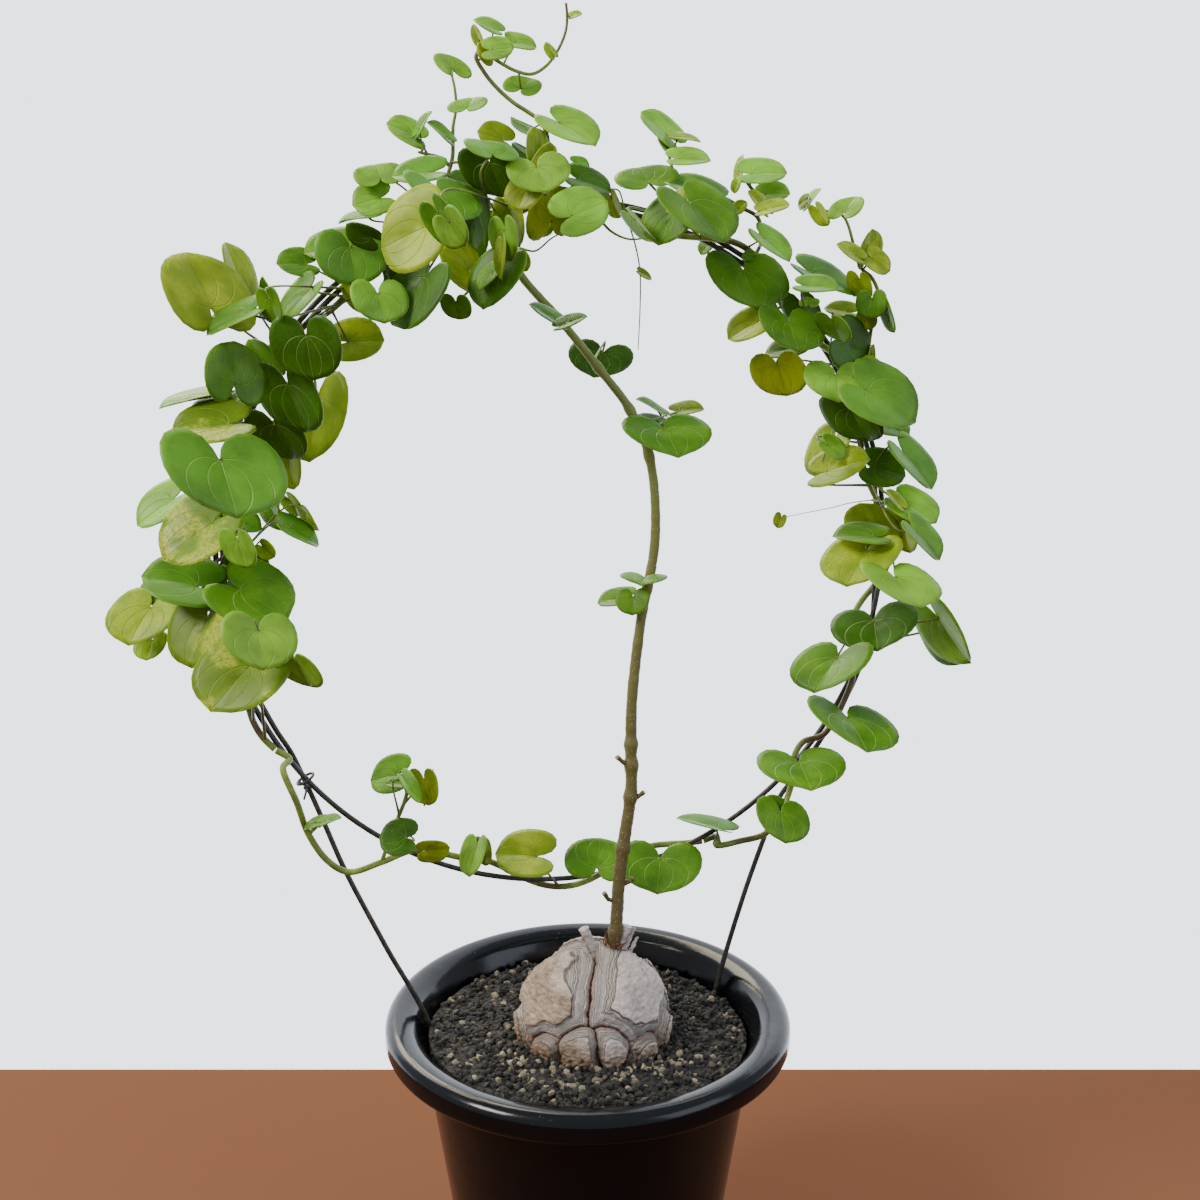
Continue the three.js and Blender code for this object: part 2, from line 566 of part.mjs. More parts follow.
const SPRAYS = {
  main_stem: {
    stand: 15,
    stems: [
      stem(
        [
          ...stemFoot,
          ...route([
            [620, 870, 22],
            [631, 790, 20],
            [631, 745, 19],
            [632, 700, 18],
            [641, 620, 16],
            [655, 540, 14],
            [650, 460, 12],
            [630, 410, 11],
            [600, 370, 10],
            [560, 320, 8],
          ]),
          ...stemHead,
        ],
        MAIN_STEM_RADII,
        7,
      ),
      stem(route([[632, 800, 20], [637, 797, 21], [644, 792, 22]]), 0.9, 4),
      stem(route([[630, 766, 19.5], [623, 762, 20], [617, 757, 21]]), 0.9, 4),
      stem(route([[620, 898, 22.5], [610, 900, 23], [604, 893, 24]]), 0.9, 4),
      stem(route([[621, 884, 22.5], [628, 882, 23], [634, 878, 24]]), 0.9, 4),
    ],
    leaves: [
      [555, 321, 530, 303, 546, 306, 541, 317, 1, 2],
      [564, 325, 587, 315, 573, 314, 576, 325, 1, 2],
      [602, 354, 594, 375, 565, 350, 628, 361, 1, -1],
      [664, 429, 679, 453, 621, 428, 706, 425, 1, 4],
      [661, 427, 634, 416, 651, 413, 648, 426, 1, -1],
      [680, 411, 704, 407, 689, 401, 691, 415, 1, -1],
      [658, 411, 637, 397, 652, 403, 649, 409, 1, -1],
      [624, 598, 597, 601, 611, 588, 610, 607, 1, 2],
      [633, 597, 632, 615, 616, 603, 650, 602, 1, 3],
      [644, 578, 641, 583, 620, 577, 667, 580, 1, 1],
    ],
  },
  vine_lower_left: {
    stems: [
      stem([
        onVine(211 + JOIN),
        onVine(213.5),
        ...route([
          [283, 768, 8],
          [297, 803, 9],
          [309, 835, 6],
          [328, 861, 6],
          [349, 872, 5],
          [382, 862, 5],
          [415, 850, 5],
        ]),
        onVine(249.5),
        onVine(252 - JOIN),
      ]),
      shoot([[382, 861, 5], [390, 838, 7], [398, 818, 9], [405, 800, 9], [409, 784, 9]]),
      shoot([[309, 834, 6], [321, 822, 8]]),
    ],
    leaves: [
      [476, 848, 468, 876, 458, 862, 482, 864, 1, 3],
      [484, 846, 485, 866, 477, 852, 495, 855, 1, 2],
      [427, 850, 450, 849, 430, 832, 433, 854, -1, 2],
      [405, 838, 379, 837, 400, 819, 395, 857, 1, 3],
      [398, 774, 370, 779, 389, 745, 386, 784, 1, 2],
      [403, 784, 386, 783, 397, 778, 396, 790, 1, 3],
      [424, 780, 428, 806, 413, 790, 443, 790, 1, 2],
      [406, 782, 422, 802, 419, 786, 409, 797, 1, 3],
      [321, 822, 304, 828, 312, 819, 313, 829, 1, 2],
      [325, 822, 341, 816, 331, 816, 333, 824, 1, 2],
    ],
  },
  vine_bottom: {
    stems: [wound(252, 294)],
    leaves: [
      [660, 859, 657, 891, 623, 860, 707, 864, 1, 3],
      [597, 867, 600, 837, 556, 860, 622, 866, -1, 1],
      [536, 856, 495, 852, 532, 832, 525, 880, 1, 2],
    ],
  },
  vine_lower_right: {
    stems: [
      stem([
        onVine(294 + JOIN),
        onVine(296.5),
        ...route([
          [716, 845, 4],
          [740, 841, 4.5],
          [766, 833, 4.5],
          [781, 811, 5],
          [791, 786, 5],
          [794, 757, 5],
          [803, 742, 5],
          [824, 734, 5],
        ]),
        onVine(333.5),
        onVine(336 - JOIN),
      ]),
    ],
    leaves: [
      [848, 718, 868, 748, 818, 704, 900, 722, 1, 3],
      [799, 763, 811, 787, 757, 757, 842, 752, 1, 3],
      [779, 811, 762, 800, 774, 793, 764, 814, 1, 2],
      [781, 813, 786, 842, 753, 818, 805, 827, 1, 3],
      [716, 828, 677, 815, 712, 817, 697, 826, 1, 2],
    ],
  },
  vine_right_low: {
    stems: [wound(336, 360)],
    leaves: [
      [865, 552, 846, 584, 821, 548, 895, 550, 1, 5],
      [896, 578, 921, 605, 877, 570, 944, 572, 1, 6],
      [938, 618, 966, 666, 936, 640, 967, 622, 1, 4],
      [933, 630, 955, 667, 930, 648, 948, 636, 1, 3],
      [874, 621, 877, 648, 834, 632, 919, 618, 1, 4],
      [836, 659, 813, 690, 798, 668, 870, 670, 1, 4],
    ],
  },
  vine_right_mid: {
    stems: [wound(0, 23)],
    leaves: [
      [850, 409, 868, 443, 826, 420, 882, 420, 1, 4],
      [878, 422, 910, 434, 900, 418, 884, 438, 1, 3],
      [834, 440, 818, 477, 808, 452, 850, 446, 1, 2],
      [828, 445, 846, 457, 842, 444, 832, 460, 1, 6],
      [828, 471, 868, 457, 841, 450, 840, 486, 1, 5],
      [874, 468, 906, 474, 886, 456, 882, 494, 1, 3],
      [905, 454, 935, 487, 926, 457, 904, 474, 1, 4],
      [905, 503, 937, 521, 922, 488, 897, 512, 1, 4],
      [899, 504, 887, 489, 897, 493, 890, 500, 1, 5],
      [874, 536, 860, 502, 842, 522, 893, 513, -1, 4],
      [872, 537, 833, 533, 852, 527, 853, 548, 1, 5],
      [903, 520, 908, 554, 892, 540, 923, 541, 1, 3],
      [916, 531, 942, 558, 937, 528, 922, 546, 1, 4],
    ],
  },
  vine_right_high: {
    stems: [wound(23, 46)],
    leaves: [
      [802, 305, 812, 334, 788, 317, 826, 316, 1, 3],
      [789, 322, 800, 350, 764, 330, 828, 338, 1, 5],
      [812, 273, 857, 293, 836, 270, 825, 288, 1, 3],
      [808, 286, 839, 287, 822, 280, 817, 297, 1, 4],
      [809, 304, 812, 297, 800, 299, 820, 301, -1, 4],
      [833, 322, 841, 342, 819, 322, 852, 328, 1, 6],
      [844, 342, 868, 360, 858, 318, 840, 368, 1, 4],
      [848, 312, 824, 307, 842, 305, 837, 320, 1, 3],
      [778, 366, 787, 397, 751, 373, 806, 368, 1, 4],
      [795, 348, 764, 353, 779, 341, 779, 362, 1, 3],
      [836, 375, 839, 400, 807, 368, 872, 371, 1, 5],
      [867, 367, 882, 373, 877, 363, 870, 384, 1, 4],
      [868, 391, 918, 419, 900, 366, 873, 416, 1, 5],
    ],
  },
  shoot_right: {
    stems: [
      shootFrom(27, [
        [869, 345, 10],
        [873, 320, 12],
        [879, 298, 12],
        [872, 278, 12],
        [861, 268, 12],
        [855, 250, 12],
        [843, 216, 12],
        [822, 210, 12],
        [807, 205, 12],
      ]),
    ],
    leaves: [
      [860, 280, 865, 300, 851, 286, 876, 289, 1, 4],
      [872, 299, 873, 319, 857, 308, 888, 306, 1, 5],
      [887, 308, 894, 333, 885, 320, 897, 316, 1, 4],
      [867, 316, 870, 330, 860, 323, 880, 320, 1, 3],
      [872, 362, 872, 344, 868, 355, 877, 355, 1, 3],
      [808, 204, 819, 188, 806, 198, 813, 201, 1, 3],
      [806, 200, 798, 206, 800, 198, 803, 208, 1, 3],
      [818, 210, 828, 226, 815, 221, 829, 214, 1, 3],
      [845, 212, 853, 196, 834, 207, 867, 205, -1, 3],
      [867, 256, 873, 230, 857, 245, 879, 243, -1, 3],
      [856, 256, 837, 243, 848, 240, 842, 252, 1, 3],
      [872, 259, 891, 270, 888, 251, 880, 272, 1, 4],
    ],
  },
  hanging_shoot: {
    stems: [
      shootFrom(84, [
        [606, 190, 7],
        [618, 190, 8],
        [625, 212, 8],
        [636, 248, 8],
        [640, 272, 8],
        [640, 310, 7],
        [638, 350, 6],
      ]),
    ],
    leaves: [],
  },
  vine_top_right: {
    stems: [wound(46, 66)],
    leaves: [
      [648, 182, 638, 166, 606, 176, 668, 166, -1, 4],
      [686, 199, 665, 210, 672, 198, 681, 216, 1, 5],
      [705, 194, 664, 178, 690, 180, 676, 198, 1, 2],
      [635, 219, 656, 243, 633, 231, 646, 226, 1, 3],
      [674, 212, 657, 243, 638, 222, 687, 230, 1, 4],
      [690, 203, 728, 238, 740, 212, 684, 226, 1, 5],
      [764, 238, 792, 259, 785, 238, 768, 250, 1, 3],
      [750, 256, 742, 254, 751, 249, 746, 259, 1, 2],
      [709, 243, 700, 254, 699, 244, 710, 252, 1, -1],
      [744, 271, 759, 306, 713, 266, 793, 272, 1, 5],
      [757, 322, 727, 337, 737, 310, 752, 336, 1, 3],
      [763, 306, 779, 312, 773, 303, 768, 315, 1, 2],
    ],
  },
  shoot_top_right: {
    stems: [
      shootFrom(55.5, [
        [761, 238, 10],
        [758, 218, 12],
        [740, 207, 12],
        [722, 197, 12],
        [697, 190, 12],
        [682, 180, 12],
        [671, 165, 12],
        [668, 146, 12],
      ]),
      shoot([[757, 217, 12], [763, 206, 12], [748, 184, 12], [742, 176, 12]]),
    ],
    leaves: [
      [668, 136, 642, 111, 668, 112, 650, 127, 1, 3],
      [678, 138, 701, 140, 686, 136, 687, 142, 1, 3],
      [680, 159, 711, 158, 691, 143, 694, 160, 1, 3],
      [667, 149, 658, 138, 667, 141, 661, 146, 1, 2],
      [738, 209, 746, 201, 738, 200, 748, 208, 1, 4],
      [737, 183, 734, 193, 731, 186, 740, 188, 1, 3],
      [740, 174, 741, 155, 734, 166, 743, 164, 1, 2],
      [752, 174, 787, 171, 768, 157, 771, 182, 1, 2],
      [766, 194, 790, 192, 777, 183, 776, 203, 1, 3],
      [763, 208, 749, 190, 761, 196, 751, 203, 1, 3],
      [766, 210, 789, 203, 774, 200, 779, 213, 1, 4],
    ],
  },
  vine_top: {
    stems: [wound(66, 95)],
    leaves: [
      [544, 226, 543, 237, 532, 230, 552, 230, 1, 2],
      [576, 163, 590, 165, 582, 158, 582, 170, 1, 3],
      [580, 180, 612, 190, 597, 169, 590, 192, 1, 3],
      [572, 216, 607, 200, 575, 185, 600, 227, 1, 5],
      [551, 221, 557, 187, 521, 212, 575, 203, -1, 4],
      [527, 188, 517, 209, 502, 195, 540, 198, 1, 5],
      [510, 211, 517, 247, 500, 230, 527, 222, 1, 4],
      [612, 199, 619, 218, 607, 211, 621, 203, 1, 3],
    ],
  },
  shoot_top: {
    stems: [
      shootFrom(92, [
        [548, 160, 9],
        [547, 135, 8],
        [540, 121, 8],
        [528, 112, 8],
        [514, 103, 8],
        [497, 88, 8],
        [484, 72, 8],
        [476, 56, 8],
        [482, 50, 8],
        [496, 60, 8],
        [516, 71, 8],
        [532, 74, 8],
        [546, 66, 8],
        [558, 50, 8],
        [566, 30, 8],
        [567, 14, 8],
        [566, 3, 8],
      ]),
    ],
    leaves: [
      [560, 123, 597, 142, 586, 118, 553, 136, 1, 3],
      [532, 129, 510, 119, 519, 127, 527, 120, 1, 3],
      [536, 153, 535, 128, 524, 137, 547, 134, -1, 4],
      [538, 166, 552, 144, 534, 150, 556, 153, -1, 5],
      [537, 168, 546, 190, 512, 171, 574, 160, 1, 6],
      [530, 157, 511, 145, 520, 157, 526, 143, 1, 2],
      [494, 29, 474, 19, 487, 21, 481, 31, 1, 2],
      [479, 39, 473, 25, 471, 33, 480, 30, 1, 2],
      [492, 50, 514, 47, 502, 38, 502, 60, 1, 4],
      [490, 55, 479, 43, 492, 39, 478, 56, 1, 3],
      [515, 42, 537, 45, 521, 39, 524, 55, 1, 3],
      [521, 89, 530, 77, 511, 84, 547, 92, -1, 2],
      [553, 53, 545, 43, 547, 52, 555, 47, 1, 2],
      [572, 16, 582, 13, 574, 12, 576, 18, 1, 2],
    ],
  },
  vine_top_left: {
    stems: [wound(95, 120)],
    leaves: [
      [425, 227, 379, 247, 408, 188, 414, 266, 1, 5],
      [438, 190, 460, 217, 407, 190, 474, 203, 1, 4],
      [449, 222, 464, 246, 446, 240, 470, 219, 1, 6],
      [438, 212, 455, 244, 434, 234, 458, 216, 1, 5],
      [470, 210, 471, 266, 446, 240, 493, 235, 1, 3],
      [424, 277, 388, 323, 394, 278, 437, 322, 1, 4],
      [380, 198, 352, 204, 362, 186, 372, 219, 1, 3],
      [368, 217, 338, 220, 356, 213, 357, 220, 1, 2],
      [380, 179, 375, 163, 348, 168, 398, 161, -1, 3],
      [430, 172, 392, 174, 412, 163, 410, 188, 1, 3],
      [474, 187, 448, 175, 462, 174, 458, 192, 1, 3],
      [502, 140, 478, 130, 495, 122, 488, 148, 1, 1],
      [492, 154, 484, 139, 457, 150, 510, 158, -1, 4],
      [506, 212, 495, 232, 487, 221, 506, 229, 1, 1],
    ],
  },
  shoot_top_left: {
    stems: [
      shootFrom(114, [
        [437, 198, 8],
        [452, 160, 9],
        [453, 145, 9],
        [453, 128, 9],
        [456, 108, 9],
        [455, 90, 9],
        [452, 76, 9],
      ]),
      shoot([[450, 166, 9], [440, 158, 9], [430, 155, 9], [418, 152, 9]]),
    ],
    leaves: [
      [490, 163, 503, 198, 467, 173, 528, 174, 1, 3],
      [414, 136, 388, 122, 405, 119, 398, 143, 1, 2],
      [420, 130, 431, 111, 421, 120, 427, 124, 1, 2],
      [446, 137, 429, 121, 441, 125, 435, 133, 1, 2],
      [453, 70, 446, 54, 426, 61, 461, 68, -1, 2],
      [467, 108, 473, 97, 450, 99, 489, 96, -1, 2],
    ],
  },
  shoot_inner_left: {
    stems: [
      shootFrom(98, [
        [503, 228, 8],
        [494, 258, 8],
        [480, 284, 8],
        [468, 292, 8],
        [460, 300, 8],
      ]),
      shoot([[489, 267, 8], [496, 268, 8], [506, 266, 9], [518, 260, 9]]),
    ],
    leaves: [
      [505, 230, 508, 261, 493, 248, 521, 246, 1, 5],
      [469, 271, 441, 253, 457, 246, 449, 289, 1, 3],
      [456, 302, 459, 320, 441, 300, 472, 302, 1, 3],
      [503, 250, 499, 279, 494, 262, 504, 262, 1, 6],
      [493, 272, 477, 287, 481, 274, 493, 284, 1, 5],
      [503, 268, 480, 307, 474, 282, 519, 290, 1, 4],
      [500, 268, 474, 271, 487, 261, 488, 277, 1, 3],
      [519, 257, 527, 271, 517, 264, 534, 253, 1, 3],
    ],
  },
  vine_left_high: {
    stems: [wound(120, 145)],
    leaves: [
      [210, 307, 192, 251, 163, 290, 247, 292, -1, 2],
      [240, 284, 231, 242, 219, 262, 249, 265, -1, 1],
      [247, 313, 205, 331, 232, 309, 240, 328, 1, 2],
      [271, 298, 262, 277, 265, 290, 274, 286, 1, 2],
      [308, 291, 281, 317, 289, 286, 307, 303, 1, 3],
      [305, 264, 277, 262, 292, 250, 297, 278, 1, 1],
      [270, 299, 276, 325, 262, 308, 284, 305, 1, 2],
      [350, 247, 355, 285, 308, 272, 380, 268, 1, 4],
      [370, 237, 346, 226, 352, 242, 364, 222, 1, 5],
      [350, 246, 304, 250, 326, 232, 335, 262, 1, 3],
      [306, 336, 311, 381, 280, 345, 350, 345, 1, 4],
      [348, 342, 384, 338, 360, 318, 360, 361, 1, -1],
      [378, 294, 384, 322, 350, 291, 407, 292, 1, 6],
      [358, 292, 364, 315, 344, 302, 374, 307, 1, 1],
      [412, 262, 386, 285, 386, 262, 412, 286, 1, 3],
    ],
  },
  vine_left_mid: {
    stems: [wound(145, 165)],
    leaves: [
      [228, 424, 173, 429, 198, 405, 206, 447, 1, 2],
      [228, 403, 190, 411, 208, 402, 215, 416, 1, 1],
      [316, 402, 305, 461, 272, 425, 343, 418, 1, -2],
      [288, 385, 302, 434, 258, 402, 320, 405, 1, 3],
      [275, 425, 290, 461, 252, 440, 306, 440, 1, 1],
      [234, 384, 237, 341, 204, 372, 265, 382, -1, 4],
      [270, 366, 248, 341, 252, 364, 275, 345, 1, 2],
      [212, 396, 160, 404, 196, 389, 200, 399, 1, 3],
    ],
  },
  vine_left_low: {
    stems: [wound(165, 189)],
    leaves: [
      [220, 460, 237, 515, 157, 460, 276, 470, 1, 5],
      [172, 500, 136, 523, 145, 482, 157, 514, 1, 2],
      [212, 523, 162, 557, 158, 518, 193, 568, 1, 4],
      [225, 518, 262, 527, 246, 511, 237, 537, 1, 2],
      [238, 541, 244, 569, 213, 552, 248, 556, 1, 5],
      [288, 458, 291, 490, 276, 472, 305, 468, 1, -1],
      [268, 500, 279, 532, 258, 510, 282, 512, 1, 1],
      [290, 528, 320, 543, 302, 520, 303, 543, 1, 2],
      [290, 500, 302, 517, 288, 511, 304, 506, 1, 2],
      [306, 513, 317, 532, 303, 522, 314, 520, 1, 2],
      [276, 480, 274, 512, 263, 495, 279, 495, 1, -1],
      [263, 547, 274, 558, 262, 556, 274, 543, 1, 2],
      [246, 560, 250, 590, 228, 568, 276, 572, 1, 1],
    ],
  },
  vine_left_foot: {
    stems: [wound(189, 211)],
    leaves: [
      [150, 608, 128, 643, 98, 622, 163, 630, 1, 2],
      [152, 641, 146, 660, 129, 646, 160, 645, 1, 1],
      [207, 617, 190, 667, 160, 640, 220, 640, 1, 2],
      [196, 586, 144, 573, 190, 562, 175, 612, 1, 3],
      [158, 590, 139, 597, 146, 576, 150, 603, 1, 1],
      [240, 590, 288, 617, 278, 572, 228, 622, 1, 3],
      [258, 631, 263, 669, 226, 641, 300, 645, 1, 4],
      [250, 666, 211, 709, 202, 672, 276, 706, 1, 2],
      [296, 662, 308, 688, 281, 664, 328, 675, 1, 3],
      [235, 640, 222, 668, 200, 658, 242, 642, 1, 1],
      [226, 583, 207, 610, 197, 590, 224, 607, 1, 1],
    ],
  },
};

// Wire ties hold the vine to the trellis. A tie is a loop that fits round what it holds, with a knot and two ends.
const TIE_RADIUS = 0.5;
const archCurve = smooth(archPoints);

function tie(name, angle, holdsVine, knotWay) {
  const wireMiddle = onRing(angle, RING_RADIUS);
  const outward = wireMiddle.clone().sub(RING_MIDDLE).normalize();
  const inArch = archCurve.getSpacedPoints(900).reduce((one, two) =>
    two.distanceTo(wireMiddle) < one.distanceTo(wireMiddle) ? two : one,
  );
  const held = [
    [wireMiddle, WIRE_RADIUS],
    [inArch, WIRE_RADIUS],
    ...(holdsVine ? [[onVine(angle), VINE_RADIUS]] : []),
  ];
  const reachFrom = (place) => ([middle, radius]) => middle.distanceTo(place) + radius;
  const middle = wireMiddle.clone();
  for (let i = 1; i <= 60; i += 1) {
    const reach = reachFrom(middle);
    const [farthest] = held.reduce((one, two) => (reach(two) > reach(one) ? two : one));
    middle.lerp(farthest, 1 / (i + 1));
  }
  const loopRadius = Math.max(...held.map(reachFrom(middle))) + GAP + TIE_RADIUS;
  const loop = new THREE.TorusGeometry(loopRadius, TIE_RADIUS, 3, 10);
  const along = ringFacing.clone().cross(outward);
  loop.applyMatrix4(new THREE.Matrix4().makeBasis(outward, ringFacing, along.negate()).setPosition(middle));
  const onLoop = (turn, out) =>
    middle
      .clone()
      .addScaledVector(outward, (loopRadius + out) * Math.cos(turn * DEGREE))
      .addScaledVector(ringFacing, (loopRadius + out) * Math.sin(turn * DEGREE));
  const knot = new THREE.OctahedronGeometry(1.3, 0);
  const knotPlace = onLoop(knotWay, 0.5);
  knot.translate(knotPlace.x, knotPlace.y, knotPlace.z);
  const ends = [-1, 1].map((side) => {
    const start = onLoop(knotWay, 0.7);
    const away = onLoop(knotWay, 3).addScaledVector(along, 1.6 * side);
    const end = onLoop(knotWay - 12 * side, 6).addScaledVector(along, 3.2 * side);
    return [start, away, end];
  });
  const endShapes = ends.map((points) => bar(points, TIE_RADIUS - 0.1, 3, 2));
  addPiece(name, joined([loop, knot, ...endShapes]), 0x2a2622, 0.6);
  return [...Array.from({ length: 12 }, (_, i) => onLoop(i * 30, 0)), ...ends.flat()];
}

const tiePlaces = [
  ...tie("tie_left", 182, true, 60),
  ...tie("tie_right", 5, true, 60),
  ...tie("tie_lower_left", 218.5, false, 75),
];

// Each blade stands clear of the wires, of the stems and of the blades in the layers between it and the trellis:
// in front for a layer above 0, behind for one below
const BLADE_CLEARANCE = 1.2;
const LINE_CLEARANCE = 0.75;
const LEAST_LEVEL = 0.5; // a tilted blade stands off farther, by at most one over this
const LEAST_STAND = 4;
const NEAR_TRELLIS = 12; // the main stem counts for other blades only where it stands no farther forward

const asSeen = (point) => {
  const [x, y] = pictureOf(point);
  return { x, y, deep: forwardOf(point), point };
};

function placesAlong(path, step) {
  const places = [];
  path.slice(1).forEach((end, i) => {
    const count = Math.ceil(end.distanceTo(path[i]) / step);
    places.push(...Array.from({ length: count }, (_, k) => path[i].clone().lerp(end, (k + 0.5) / count)));
  });
  return places;
}

const linePlaces = (points, radius, spray) => points.map((point) => ({ ...asSeen(point), radius, spray }));
const widest = (radius) => Math.max(...[radius].flat());

const lines = [
  ...linePlaces(Array.from({ length: 360 }, (_, i) => onRing(i, RING_RADIUS)), WIRE_RADIUS),
  ...linePlaces(archCurve.getSpacedPoints(500), WIRE_RADIUS),
  ...linePlaces(tiePlaces, TIE_RADIUS),
  ...Object.entries(SPRAYS).flatMap(([spray, { stems }]) =>
    stems.flatMap(({ sections, radius }) => linePlaces(placesAlong(sections, 2), widest(radius), spray)),
  ),
];
const linesFor = (spray) =>
  lines.filter((place) => spray === "main_stem" || place.spray !== "main_stem" || place.deep < NEAR_TRELLIS);

// The faces of one side of a blade, fanned out from the two points of its notch
function fanFaces(last) {
  const tip = last / 2;
  const faces = [];
  for (let i = 1; i < tip; i += 1) {
    faces.push([0, i, i + 1]);
  }
  faces.push([0, tip, last]);
  for (let i = tip; i < last - 1; i += 1) {
    faces.push([last, i, i + 1]);
  }
  return faces;
}

const SPREAD = [
  [0, 0],
  [0.5, 0],
  [1, 0],
  [0.5, 0.5],
  [0, 1],
  [0, 0.5],
  [0.33, 0.33],
];

function moveTo(leaf, forward) {
  const outline = bladeOutline(leaf);
  const stand = standing(leaf, forward);
  const places = outline.map(([across, along]) => asSeen(bladePoint(leaf, stand, across, along)));
  leaf.forward = forward;
  leaf.triangles = fanFaces(outline.length - 1).map((face) => face.map((i) => places[i]));
  leaf.samples = leaf.triangles.flatMap(([a, b, c]) =>
    SPREAD.map(([u, v]) => {
      const mix = (key) => a[key] + u * (b[key] - a[key]) + v * (c[key] - a[key]);
      return { x: mix("x"), y: mix("y"), deep: mix("deep"), radius: 0 };
    }),
  );
  const [xs, ys] = [places.map((place) => place.x), places.map((place) => place.y)];
  leaf.box = [Math.min(...xs), Math.max(...xs), Math.min(...ys), Math.max(...ys)];
}

// How far forward a fan of triangles is at a picture place, or null beside it
const EDGE_SHARE = 0.03;
const LINE_EDGE_SHARE = 0.12; // a stem or a wire also counts where it passes close to a blade's edge
function depthAt(triangles, { x, y }, edge = EDGE_SHARE) {
  for (const [a, b, c] of triangles) {
    const area = (b.x - a.x) * (c.y - a.y) - (c.x - a.x) * (b.y - a.y);
    const u = ((x - a.x) * (c.y - a.y) - (c.x - a.x) * (y - a.y)) / area;
    const v = ((b.x - a.x) * (y - a.y) - (x - a.x) * (b.y - a.y)) / area;
    if (u >= -edge && v >= -edge && u + v <= 1 + edge) {
      return a.deep + u * (b.deep - a.deep) + v * (c.deep - a.deep);
    }
  }
  return null;
}

const inBox = ([x0, x1, y0, y1], { x, y }) => x > x0 - 2 && x < x1 + 2 && y > y0 - 2 && y < y1 + 2;
const boxesApart = (one, two) => one[0] > two[1] || two[0] > one[1] || one[2] > two[3] || two[2] > one[3];

function neededMove(leaf, others, nearLines) {
  const sign = Math.sign(leaf.layer);
  const level = Math.max(LEAST_LEVEL, Math.abs(leaf.facing.dot(ringFacing)));
  let most = 0;
  const clear = (own, other, room) => {
    most = Math.max(most, sign * (other - own) + room / level);
  };
  for (const place of nearLines) {
    const own = inBox(leaf.box, place) ? depthAt(leaf.triangles, place, LINE_EDGE_SHARE) : null;
    if (own !== null) {
      clear(own, place.deep, place.radius + LINE_CLEARANCE);
    }
  }
  for (const other of others) {
    if (boxesApart(leaf.box, other.box)) {
      continue;
    }
    for (const place of other.samples) {
      const own = inBox(leaf.box, place) ? depthAt(leaf.triangles, place) : null;
      if (own !== null) {
        clear(own, place.deep, BLADE_CLEARANCE);
      }
    }
    for (const place of leaf.samples) {
      const behind = inBox(other.box, place) ? depthAt(other.triangles, place) : null;
      if (behind !== null) {
        clear(place.deep, behind, BLADE_CLEARANCE);
      }
    }
  }
  return most;
}

const leaves = Object.entries(SPRAYS).flatMap(([spray, { stand = LEAST_STAND, leaves: rows }]) =>
  rows.map((row) => ({ ...readLeaf(row), spray, stand })),
);
const standingLeaves = [];
for (const leaf of leaves.toSorted((one, two) => Math.abs(one.layer) - Math.abs(two.layer))) {
  const sign = Math.sign(leaf.layer);
  const sameSide = standingLeaves.filter((other) => Math.sign(other.layer) === sign);
  const nearLines = linesFor(leaf.spray);
  moveTo(leaf, sign > 0 ? leaf.stand : -LEAST_STAND);
  for (let round = 0; round < 3; round += 1) {
    moveTo(leaf, leaf.forward + sign * neededMove(leaf, sameSide, nearLines));
  }
  standingLeaves.push(leaf);
}

// A petiole runs from its blade's notch to a free place on one of its own stems, past the other blades
const PETIOLE_RADIUS = 0.6;
const PETIOLE_END = 0.42;
const STEEPEST_BEND = 0.35; // cosine up to which a petiole's section at its bend faces along its last part
const PETIOLE_STEP = 1.2;
const BASE_SPACING = 1.7;
const PETIOLE_ROOM = 1.1;
const BENDS = [0.2, 0.09, 0.34]; // how far behind the notch a petiole bends, for a blade one unit wide
const SIDEWAYS = [0, -0.25, 0.25]; // and how far to one side
const STRAIGHT_LIMIT = 0.25; // a petiole without a bend leads away from its blade
const BASES_TRIED = 60;
const COSTS = { bend: 1, ownBlade: 14, otherBlade: 60, otherStem: 60, ownPetiole: 8 };
const petiolePlaces = [];

function crossingCost(path, leaf) {
  const places = placesAlong(path, PETIOLE_STEP).map(asSeen);
  const [notch, base] = [path[0], path.at(-1)];
  const away = places.filter(({ point }) => point.distanceTo(notch) > 2);
  let cost = 0;
  for (const other of leaves) {
    let before = null;
    let hit = false;
    for (const place of other === leaf ? away : places) {
      const deep = inBox(other.box, place) ? depthAt(other.triangles, place) : null;
      const over = deep === null ? null : place.deep - deep;
      hit ||= over !== null && (Math.abs(over) < PETIOLE_ROOM || (before !== null && before * over < 0));
      before = over;
    }
    if (hit) {
      cost += other.spray === leaf.spray ? COSTS.ownBlade : COSTS.otherBlade;
    }
  }
  const room = new THREE.Box3().setFromPoints(path).expandByScalar(3);
  const touches = (place) =>
    places.some(({ point }) => point.distanceTo(place.point) < place.radius + PETIOLE_ROOM);
  for (const place of [...linesFor(leaf.spray), ...petiolePlaces]) {
    if (!room.containsPoint(place.point)) {
      continue;
    }
    if (place.spray !== leaf.spray) {
      cost += touches(place) ? COSTS.otherStem : 0;
    } else if (petiolePlaces.includes(place) && place.point.distanceTo(base) > 3) {
      cost += touches(place) ? COSTS.ownPetiole : 0;
    }
  }
  return cost;
}

